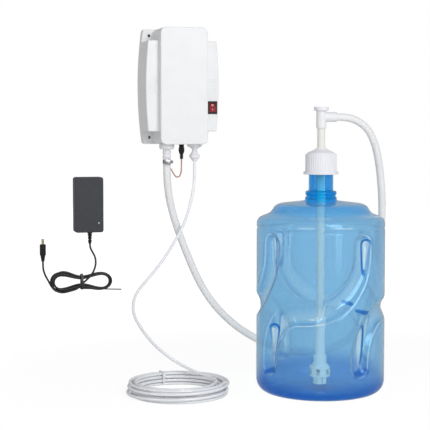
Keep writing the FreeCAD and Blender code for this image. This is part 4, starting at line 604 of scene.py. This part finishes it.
# %% Delivery tube and its coil
TUBE_ROUTE = [
    (-249.5, 95, 485.6), (-249.5, 95, 463), (-251.3, 92.8, 434), (-258, 91, 402), (-270, 89.5, 362),
    (-290, 89, 323), (-321, 92, 274), (-355, 98, 233), (-379, 106, 203), (-381, 115, 163),
    (-358, 124, 124), (-330, 132, 90), (-298, 132, 62), (-268, 117, 43), (-243, 93, 32), (-222.5, 64, 27.3),
]
TUBE_R = 3.175
COIL_TURNS = 8.5
LAYER_TURNS = 2.125
LAYER_RISE = 7.5
COIL_X, COIL_Y = -299, 45
COIL_R, TURN_STEP = 89, 8.4
COIL_START = math.radians(-25)
POINTS_A_TURN = 24


def coil_point(turn):
    """A point of the coil, which goes down a layer each time it turns back."""
    inset = LAYER_TURNS - abs(turn % (2 * LAYER_TURNS) - LAYER_TURNS)
    climbed = sum(clamped((turn - k * LAYER_TURNS) * 2 + 0.5) for k in (1, 2, 3))
    angle = COIL_START - 2 * math.pi * turn
    radius = COIL_R + inset * TURN_STEP - 10 * max(0.0, 1 - turn) ** 2
    z = TUBE_R + LAYER_RISE * (3 - climbed)
    return COIL_X + radius * math.cos(angle), COIL_Y + radius * math.sin(angle), z


coil_begin = Vector(coil_point(0))
coil_way = (Vector(coil_point(0.001)) - coil_begin).normalized()
tube_points = TUBE_ROUTE + [coil_begin - coil_way * before for before in (30, 6)]
tube_points += [coil_point(i / POINTS_A_TURN) for i in range(1, int(COIL_TURNS * POINTS_A_TURN) + 1)]
delivery_tube = cord_curve("delivery_tube_coiled", tube_points, TUBE_R, tube_milky, smooth=4, sides=4)
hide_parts("delivery_tube", "delivery_coil")
print("tube points", len(tube_points))

# %% [markdown]
# Two thin leads are left: the short signal lead from the float plug to the hose, and the adapter's
# lead with its hank. The hank is a long loop, drawn in at its waist where it is tied. Each of its
# turns is a run, a bend, and then both again, turned half round.

# %% Signal lead
LEAD_ROUTE = [
    (-278, 95, 490.6), (-278.2, 95, 476), (-278.8, 95, 462), (-282.5, 95, 453), (-289.5, 95.3, 452),
    (-295, 96, 459), (-299, 96.6, 467.5), (-303.5, 96.8, 473),
]
signal_lead = cord_curve("signal_lead", LEAD_ROUTE, 1.4, lead_copper, smooth=8, sides=3)
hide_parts("float_lead")
print("signal lead points", len(LEAD_ROUTE))

# %% Adapter lead, hank and plug
ADAPTER_ROUTE = [
    (-468, 133, 313), (-468, 133, 304.5), (-463, 131.5, 295), (-457.5, 129, 284.5), (-456.5, 126.5, 272),
    (-459.5, 125, 259.5), (-465.5, 124.3, 248.5), (-474.5, 124, 239), (-486.5, 124, 229),
]
PLUG_ROUTE = [(-562.5, 135, 247.5), (-566.3, 134, 258), (-567.5, 133, 268), (-567.5, 133, 277.5)]
HANK_X, HANK_Y, HANK_Z = -486, 130.5, 232.6
HANK_TURNS = 4.138
HANK_START = 0.2228
HANK_RUN = 88
HANK_R, HANK_STEP = 22, 4.0
TIGHTEST_R = 12
WAIST = 9
LAYER_GAP = 5
FAN_EASE = 0.3
HANK_POINTS = 150


def hank_point(turn):
    """A point of the hank. Its bends fan out at the left and close up at the right."""
    layer = HANK_TURNS / 2
    climbed = clamped((turn - layer) * 2 + 0.5)
    radius = HANK_R - HANK_STEP * (layer - abs(turn % HANK_TURNS - layer))
    half_turn = HANK_RUN + math.pi * radius
    second_half, along = divmod(((HANK_START + turn) % 1.0) * 2 * half_turn, half_turn)
    if along < HANK_RUN:
        x = HANK_RUN / 2 - along
        z = WAIST * math.cos(math.pi * x / HANK_RUN) ** 2 - radius
    else:
        angle = (along - HANK_RUN) / radius
        x, z = -HANK_RUN / 2 - radius * math.sin(angle), -radius * math.cos(angle)
    if second_half:
        x, z = -x, -z
    y = LAYER_GAP * climbed - 3.2 * max(0.0, 1 - turn / 0.1) ** 2
    free = clamped(turn / FAN_EASE) * clamped((HANK_TURNS - turn) / FAN_EASE)
    spare = free * max(0.0, radius - TIGHTEST_R) / 10
    right = spare * clamped((x - 12) / 40)
    left = spare * clamped((-12 - x) / 40)
    z = z * (1 - 0.2 * right) + left * 3.6 * math.sin(2.1 * turn)
    x += left * 5.5 * math.sin(1.3 * turn + 1.0)
    return HANK_X + x, HANK_Y + y, HANK_Z + z


hank_start = Vector(hank_point(0))
hank_way = (Vector(hank_point(0.001)) - hank_start).normalized()
hank_end = Vector(hank_point(HANK_TURNS - 0.0001))
end_way = (hank_end - Vector(hank_point(HANK_TURNS - 0.0011))).normalized()
lead_points = ADAPTER_ROUTE + [hank_start - hank_way * before for before in (16, 4)]
lead_points += [hank_point(HANK_TURNS * i / HANK_POINTS) for i in range(1, HANK_POINTS)]
lead_points += [hank_end + end_way * beyond for beyond in (4, 14)] + PLUG_ROUTE
adapter_lead = cord_curve("adapter_lead", lead_points, 2.0, cord_black, smooth=4, sides=3)
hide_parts("dc_cord", "dc_hank", "dc_plug_lead")
print("adapter lead points", len(lead_points))

# %% [markdown]
# Bottles are round about one axis, as if turned on a lathe. Blender can turn them the same way: one
# vertex is extruded step by step along half of the outline, and Spin carries that outline round the
# axis. The seam and the poles are then merged, and the normals made to face out.

# %% The lathe
def turned(name, outline, steps):
    """A piece turned about the Z axis, from points of (radius, height) in millimetres."""
    clear_selection()
    bpy.ops.mesh.primitive_circle_add(vertices=3, radius=0.001, location=(0, 0, 0))
    piece = bpy.context.object
    piece.name = name
    bpy.ops.object.mode_set(mode="EDIT")
    bpy.ops.mesh.select_mode(type="VERT")
    bpy.ops.mesh.select_all(action="SELECT")
    bpy.ops.mesh.merge(type="CENTER")
    bpy.ops.transform.translate(value=mm(outline[0][0], 0, outline[0][1]))
    for (r0, z0), (r1, z1) in zip(outline, outline[1:]):
        step = mm(r1 - r0, 0, z1 - z0)
        bpy.ops.mesh.extrude_region_move(TRANSFORM_OT_translate={"value": step})
    bpy.ops.mesh.select_all(action="SELECT")
    bpy.ops.mesh.spin(steps=steps, angle=2 * math.pi, center=(0, 0, 0), axis=(0, 0, 1))
    bpy.ops.mesh.select_all(action="SELECT")
    bpy.ops.mesh.remove_doubles(threshold=0.00002)
    bpy.ops.mesh.normals_make_consistent(inside=False)
    bpy.ops.object.mode_set(mode="OBJECT")
    bpy.ops.object.shade_smooth_by_angle(angle=math.radians(35))
    return piece


def rounded(before, corner, after, shares):
    """Points of the curve that leaves one point towards a corner, and bends to reach the other."""
    return [before * (1 - t) ** 2 + corner * 2 * t * (1 - t) + after * t * t for t in shares]


def eased(outline, reach):
    """The outline with each corner replaced by a short curve that starts up to reach before it."""
    soft = [outline[0]]
    for before, corner, after in zip(outline, outline[1:], outline[2:]):
        back = Vector(before) - Vector(corner)
        on = Vector(after) - Vector(corner)
        cut = min(reach, 0.48 * back.length, 0.48 * on.length)
        a = Vector(corner) + back.normalized() * cut
        b = Vector(corner) + on.normalized() * cut
        soft += [tuple(point) for point in rounded(a, Vector(corner), b, (0.0, 0.33, 0.67, 1.0))]
    return soft + [outline[-1]]


def stepped(start, end, count):
    """Points from start to end, end left out, so that a long run has rows to shape."""
    return [tuple(Vector(start).lerp(Vector(end), i / count)) for i in range(count)]


print("lathe ready")

# %% [markdown]
# The bottle is blown from clear blue plastic. The plastic gathers at the foot and at the neck ring,
# and there the blue is deeper. Clear plastic is a shader with its Transmission near one. Its colour
# tints each wall that the light goes through, and the small rest of plain colour gives the haze
# that the plastic has. The tint is built up by height: first the foot, then the shoulder and the
# neck ring, and last the pad in the middle of the foot.

# %% Clear blue plastic: the tint by height
UP_AND_SLANTED = (-0.03, -0.106, 1.0)
FOOT_BLUE, UPPER_BLUE, PAD_BLUE = (0.0, 0.24, 0.70, 1), (0.01, 0.45, 0.90, 1), (0.0, 0.04, 0.42, 1)

clear_blue = bpy.data.materials.new("clear_blue_plastic")
clear_blue.use_nodes = True
tree = clear_blue.node_tree
place = put(tree, "TexCoord").outputs["Object"]
height = put(tree, "SeparateXYZ", {0: place}).outputs
speckle = put(tree, "Group", {
    "Main": (0.47, 0.73, 0.90, 1), "Drift": (0.30, 0.58, 0.83, 1), "Scale": 260, "Share": 0.6,
}, node_tree=tone_drift).outputs
slanted_height = vector_maths(tree, "DOT_PRODUCT", place, UP_AND_SLANTED)
foot = ranged(tree, slanted_height, mm(62), mm(16), curve=SMOOTH)
ring_low = ranged(tree, height["Z"], mm(398), mm(405), curve=SMOOTH)
ring_high = ranged(tree, height["Z"], mm(430), mm(424), 0.72, 1.0, SMOOTH)
dome = ranged(tree, height["Z"], mm(360), mm(384), 0.0, 0.4, SMOOTH)
upper = maths(tree, "MAXIMUM", maths(tree, "MULTIPLY", ring_low, ring_high), dome)
pad = ranged(tree, vector_maths(tree, "LENGTH", place), mm(46), mm(30), curve=SMOOTH)
tint = mixed(tree, foot, speckle["Color"], FOOT_BLUE)
tint = mixed(tree, upper, tint, UPPER_BLUE)
tint = mixed(tree, pad, tint, PAD_BLUE)
print("nodes so far", len(tree.nodes))

# %% [markdown]
# Along each grip the wall gets bands of painted highlight and painted shade, which follow the grip's edge.
# The bottle's mesh will carry two numbers for each point: how far it is from the middle of the grip, and how
# much of the light there catches the edge. A ramp turns the first into three levels: red for the
# painted highlight, green for the painted shade, and blue for a raised bead. A slow noise lets them fade in
# and out along the edge.

# %% Clear blue plastic: the bands along the grips
BANDS_REACH = 40
BANDS = [
    # distance in millimetres, and the painted highlight, the painted shade and how raised the wall is there
    (0.0, (0.50, 0.00, 0.0)), (8.0, (0.40, 0.00, 0.0)), (14.0, (0.10, 0.05, 0.0)),
    (18.5, (0.00, 0.35, 0.0)), (20.5, (0.10, 0.30, 0.3)), (21.8, (1.00, 0.00, 0.9)),
    (23.0, (1.00, 0.00, 1.0)), (24.2, (0.10, 0.30, 0.2)), (27.5, (0.00, 0.10, 0.0)),
    (32.0, (0.00, 0.00, 0.0)),
]

grip_reach = put(tree, "Attribute", attribute_name="grip_reach").outputs["Fac"]
rim_light = put(tree, "Attribute", attribute_name="rim_light").outputs["Fac"]
grip_bands = put(tree, "ValToRGB", {"Fac": maths(tree, "DIVIDE", grip_reach, BANDS_REACH)})
stops = grip_bands.color_ramp.elements
while len(stops) < len(BANDS):
    stops.new(0.5)
for stop, (distance, levels) in zip(stops, BANDS):
    stop.position = distance / BANDS_REACH
    stop.color = (*levels, 1)
wander = put(tree, "TexNoise", {"Vector": place, "Scale": 14}).outputs["Fac"]
band_strength = maths(tree, "MULTIPLY", rim_light, ranged(tree, wander, 0.36, 0.52, 0.3, 1.0))
banded = mixed(tree, band_strength, (0, 0, 0, 1), grip_bands.outputs["Color"])
bands = put(tree, "SeparateColor", {"Color": banded}).outputs
print("bands", len(stops))

# %% [markdown]
# Where a grip runs out, its end gets a long soft stroke of painted highlight inside and painted shade round
# it. The stroke is a round spot that is drawn out along a line and grows or shrinks on the way. It is used
# many times, so it is a node group. It works on the wall as if that were unrolled: distance
# round the bottle one way, and height the other.

# %% Shared effect: a long spot
long_spot, entry, leave = new_group(
    "long_spot",
    [
        ("Vector", "Place", (0, 0, 0)),
        ("Vector", "Start", (0, 0, 0)),
        ("Vector", "Run", (0, 1, 0)),
        ("Vector", "Run Share", (0, 1, 0)),
        ("Float", "Width", 0.006),
        ("Float", "Widening", 0.0),
        ("Float", "Softness", 0.001),
    ],
    [("Float", "Mask")],
)
from_start = vector_maths(long_spot, "SUBTRACT", entry["Place"], entry["Start"])
along = vector_maths(long_spot, "DOT_PRODUCT", from_start, entry["Run Share"])
within = put(long_spot, "Clamp", {"Value": along}).outputs[0]
run_to = put(long_spot, "VectorMath", {0: entry["Run"], "Scale": within}, operation="SCALE").outputs[0]
apart = vector_maths(long_spot, "LENGTH", vector_maths(long_spot, "SUBTRACT", from_start, run_to))
width_here = maths(long_spot, "MULTIPLY_ADD", within, entry["Widening"], entry["Width"])
inside_by = maths(long_spot, "SUBTRACT", width_here, apart)
long_spot.links.new(maths(long_spot, "DIVIDE", inside_by, entry["Softness"], clamp=True), leave["Mask"])
print("group", long_spot.name)

# %% Clear blue plastic: strokes of painted highlight and painted shade on the wall
GRIP_TURN = 249.0
MIDDLE_R = 138.0
angle = maths(tree, "ARCTAN2", height["Y"], height["X"])
turned_by = maths(tree, "SUBTRACT", angle, math.radians(GRIP_TURN))


def grip_place(first_degree, degrees=90):
    """Place on the unrolled wall, counted from a grip's middle, and again for each grip."""
    last_degree = first_degree + degrees
    wrapped = maths(tree, "WRAP", turned_by, math.radians(last_degree), math.radians(first_degree))
    round_way = maths(tree, "MULTIPLY", wrapped, mm(MIDDLE_R))
    return put(tree, "CombineXYZ", {"X": round_way, "Y": height["Z"]}).outputs[0]


def spot_mask(flat_place, start, end, soft=1.0):
    """One long spot on the wall, each end given by degrees, height and half width."""
    first = mm(math.radians(start[0]) * MIDDLE_R, start[1], 0)
    run = mm(math.radians(end[0]) * MIDDLE_R, end[1], 0) - first
    return put(tree, "Group", {
        "Place": flat_place, "Start": first, "Run": run, "Run Share": run / run.length_squared,
        "Width": mm(start[2]), "Widening": mm(end[2] - start[2]), "Softness": mm(soft),
    }, node_tree=long_spot).outputs["Mask"]


def combine(kind, first, *others, strength=1.0):
    """Masks joined by a sum, a difference or the greater; those after the first may be weakened."""
    for other in others:
        first = maths(tree, kind, first, maths(tree, "MULTIPLY", other, strength), clamp=True)
    return first


upper_place, lower_place, front_place = grip_place(-5), grip_place(-85), grip_place(-180, 360)
# Painted highlight and painted shade where the grips run out, painted shade at the fold, and painted glints
# on the ledge.
upper_shade_rim = combine("SUBTRACT", spot_mask(upper_place, (46.6, 321, 11.0), (44.4, 258, 3.4)),
                    spot_mask(upper_place, (47.2, 319.5, 8.2), (45.6, 270, 2.6)))
upper_highlight = spot_mask(upper_place, (47.2, 319.5, 8.4), (45.6, 270, 2.8))
lower_shade_rim = combine("SUBTRACT", spot_mask(lower_place, (-47.2, 143, 13.2), (-51.4, 84, 12.0)),
                    spot_mask(lower_place, (-48.0, 141.0, 9.8), (-52.2, 82, 10.8)))
lower_highlight = spot_mask(lower_place, (-48.6, 137, 9.6), (-49.8, 72, 3.2))
end_shade = spot_mask(lower_place, (-56.0, 53, 8.0), (-44.5, 60, 9.0), soft=5.0)
fold_shade = combine("MAXIMUM", spot_mask(front_place, (23.0, 206, 4.2), (29.5, 201, 4.4)),
                    spot_mask(front_place, (33.5, 187, 4.0), (47.0, 180, 4.8)))
ledge_glints = combine("MAXIMUM", spot_mask(front_place, (-19, 354.5, 1.8), (-5, 355.2, 1.8)),
                       spot_mask(front_place, (10.5, 355.2, 1.8), (29.5, 354.4, 1.8)))
highlight_mask = combine("MAXIMUM", bands["Red"], upper_highlight, lower_highlight)
highlight_mask = combine("MAXIMUM", highlight_mask, ledge_glints, strength=0.8)
shade_mask = combine("MAXIMUM", bands["Green"], upper_shade_rim, lower_shade_rim)
shade_mask = combine("MAXIMUM", shade_mask, end_shade, strength=0.75)
shade_mask = combine("MAXIMUM", shade_mask, combine("SUBTRACT", fold_shade, bands["Red"]), strength=0.9)
print("nodes so far", len(tree.nodes))

# %% [markdown]
# The masks of painted highlight and painted shade now lighten and darken the tint, and the surface gets a
# slight orange peel, as blown plastic has. Light that reaches the wand inside would be lost in the glass, so
# shadow and diffuse rays take a plain see-through shader with a trace of the tint instead.

# %% Clear blue plastic: put together
# The colours of the painted highlight and the painted shade.
HIGHLIGHT_BLUE, SHADE_BLUE = (0.88, 0.97, 1.0, 1), (0.03, 0.26, 0.68, 1)
highlighted_tint = mixed(tree, highlight_mask, tint, HIGHLIGHT_BLUE)
orange_peel = put(tree, "Group", {"Scale": 330, "Ripple": 1.2}, node_tree=moulded_grain)
relief = put(tree, "Bump", {"Strength": 0.16, "Distance": mm(0.4), "Height": orange_peel.outputs["Height"]})
bead = put(tree, "Bump", {
    "Strength": 0.4, "Distance": mm(1.2), "Height": bands["Blue"], "Normal": relief.outputs[0],
})
shader = tree.nodes["Principled BSDF"]
feed(tree, shader, {
    "Base Color": mixed(tree, shade_mask, highlighted_tint, SHADE_BLUE),
    "Roughness": ranged(tree, speckle["Cloud"], 0.0, 1.0, 0.04, 0.08),
    "Normal": bead.outputs[0],
    "Transmission Weight": 0.86,
    "IOR": 1.45,
    "Specular Tint": (0.48, 0.77, 1.0, 1),
})
see_through = put(tree, "BsdfTransparent", {"Color": (0.97, 0.99, 1.0, 1)})
ray = put(tree, "LightPath").outputs
soft_ray = maths(tree, "MAXIMUM", ray["Is Shadow Ray"], ray["Is Diffuse Ray"])
swap = put(tree, "MixShader", {0: soft_ray, 1: shader.outputs[0], 2: see_through.outputs[0]})
feed(tree, tree.nodes["Material Output"], {"Surface": swap.outputs[0]})
print("finish", clear_blue.name, "nodes", len(tree.nodes))

# %% [markdown]
# The bottle's outline runs from the middle of its foot, over the pad and the drawn-in channel,
# up the wall to the ledge, and over the shoulder and the dome to the double bead of the neck.
# The wall gets a row of points every four millimetres, because the grips are pressed into it next.

# %% The bottle, turned
BODY_R = 135.0
FOOT = [(0, 8), (14, 7.7), (26, 6.4), (36, 4.2), (44, 3), (62, 3), (82, 3), (88, 0), (98, 0), (108, 0),
        (114, 0.7), (120, 2.7), (125.5, 6.2), (130, 11.2), (133.2, 17.3), (134.7, 23)]
WALL = stepped((BODY_R, 27), (BODY_R, 343), 79)
LEDGE = [(135, 343), (134.6, 344.8), (132.9, 346.4), (132.9, 347.6), (134.6, 349.2), (135, 351), (135, 357),
         (134.2, 361), (132.2, 365.4), (128.8, 369), (123, 371.8), (117, 374), (112, 376), (107.6, 378.6),
         (104.2, 381.8), (101.8, 385.2), (99.6, 388.8), (96.4, 392.6), (92, 395.4), (86, 397.5), (74, 398.9),
         (62, 400.4), (50, 401.9), (40, 403.1)]
NECK = [(37, 403.5), (34.2, 404.6), (33.2, 406.4), (33, 411), (30.5, 413.2), (30.5, 415.2), (32.7, 417.2),
        (32.7, 422), (31.2, 424), (26.9, 424.4), (25.75, 427), (25.75, 440), (25.75, 455), (25.75, 471),
        (27.55, 473), (27.55, 484), (26.55, 487)]
COLUMNS = 256
bottle = turned("clear_bottle", FOOT + WALL + LEDGE + eased(NECK, 0.7), COLUMNS)
bottle.data.materials.append(clear_blue)
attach(bottle, "pump_system")
print("bottle points", len(bottle.data.vertices))

# %% [markdown]
# Four S-shaped grips are pressed into the wall. Each follows one curve round the bottle, as a thick
# rod would if it were pushed in from outside. Sculpting would do it by eye. Moving each point by
# its distance from the curve does the same evenly, and the four grips come out alike. First come
# the curve, and the way to measure from it.

# %% The curve of a grip
QUARTER = math.pi / 2
GRIP_Z = 180.0
GRIP_CURVE = [
    (-51.7, -109.0), (-50.8, -74.0), (-43.8, -35.0), (-29.0, -2.0), (-7.0, -0.5),
    (7.0, 6.0), (23.0, 29.0), (36.3, 68.0), (41.2, 103.0), (41.4, 137.5),
]


def grip_line():
    """The curve of a grip, unrolled: distance round the bottle and height, in millimetres."""
    flat = [Vector((math.radians(a) * MIDDLE_R, GRIP_Z + z)) for a, z in GRIP_CURVE]
    line = [flat[0]]
    for before, corner, after in zip(flat, flat[1:], flat[2:]):
        halfway_in, halfway_out = before.lerp(corner, 0.5), corner.lerp(after, 0.5)
        line += rounded(halfway_in, corner, halfway_out, [i / 8 for i in range(8)])
    return line + [flat[-1]]


def reach_to(line, point):
    """The least distance from a point to the line, and how far it lies to the line's right."""
    least, beside = math.inf, 0.0
    for a, b in zip(line, line[1:]):
        run = b - a
        off = point - a - run * clamped((point - a).dot(run) / run.length_squared)
        if off.length < least:
            least = off.length
            beside = (run.y * off.x - run.x * off.y) / run.length
    return least, beside


def eased_step(low, high, value):
    share = clamped((value - low) / (high - low))
    return share * share * (3 - 2 * share)


grip_curve = grip_line()
print("curve pieces", len(grip_curve) - 1)

# %% [markdown]
# The depth at a point is what the rod would take away there, and the sharp edge that it would leave
# is eased into a soft lip. The same function gives the two numbers that the finish reads. The light
# comes from the upper right, so the right side of a grip catches more of it than the left.

# %% The bottle's grips
# The rod's radius, and how far its middle runs from the bottle's axis
GRIP_R = 26.0
GRIP_REACH = 147.0
GRIP_LIP, LIP_WIDTH = 1.3, 4
# The share of the depth that is left out on the saddle, left of the crease
SADDLE = 0.4
CREASE_Z, CREASE_LEAN = 167, 0.155
SHAPED_FROM_Z, SHAPED_TO_Z, SHAPED_FROM_R = 20, 343.5, 125
FAR, HALF_LIGHT = 60.0, 0.5


def grip_at(turn, z):
    """How deep the wall is pressed in at a place, its distance from the curve, and its light."""
    spots = [Vector(((turn + k * QUARTER) * MIDDLE_R, z)) for k in (-1, 0, 1)]
    nearest = [(*reach_to(grip_curve, spot), spot) for spot in spots]
    reach, beside, spot = min(nearest, key=lambda near: near[0])
    rod = GRIP_REACH - math.sqrt(max(0.0, GRIP_R ** 2 - reach ** 2))
    cut = (BODY_R - rod) / GRIP_LIP
    push = GRIP_LIP * math.log1p(math.exp(cut)) if reach < GRIP_R + LIP_WIDTH else 0.0
    degrees = math.degrees(spot.x / MIDDLE_R)
    crease = 1.0 + CREASE_LEAN * (z - CREASE_Z)
    saddle = eased_step(0.0, 4.0, crease - degrees) * eased_step(-42.0, -24.0, degrees)
    left_light = 0.1 + 0.5 * eased_step(4.0, 14.0, degrees) + 0.35 * eased_step(40.0, 52.0, -degrees)
    light = left_light + (0.95 - left_light) * clamped(0.5 + beside / 24)
    return push * (1 - SADDLE * saddle), reach, light


found = {}
deepest = 0.0
count = len(bottle.data.vertices)
reach_of, light_of = [FAR] * count, [HALF_LIGHT] * count
for vertex in bottle.data.vertices:
    z = vertex.co.z * 1000
    radius = math.hypot(vertex.co.x, vertex.co.y) * 1000
    if not SHAPED_FROM_Z <= z <= SHAPED_TO_Z or radius < SHAPED_FROM_R:
        continue
    turn = (math.atan2(vertex.co.y, vertex.co.x) - math.radians(GRIP_TURN)) % QUARTER
    key = (round(turn, 5), round(z, 2))
    if key not in found:
        found[key] = grip_at(turn, z)
    depth, reach_of[vertex.index], light_of[vertex.index] = found[key]
    deepest = max(deepest, depth)
    vertex.co.x *= (radius - depth) / radius
    vertex.co.y *= (radius - depth) / radius
for label, values in (("grip_reach", reach_of), ("rim_light", light_of)):
    note = bottle.data.attributes.new(label, "FLOAT", "POINT")
    note.data.foreach_set("value", values)
print("grips pressed in by", round(deepest, 1), "mm")

# %% The bottle's wall
pick(bottle)
wall = bottle.modifiers.new("wall", "SOLIDIFY")
wall.thickness = mm(2)
wall.offset = -1
apply_all_modifiers(bottle)
bpy.ops.object.shade_smooth_by_angle(angle=math.radians(50))
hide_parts("bottle")
print("bottle faces", len(bottle.data.polygons))
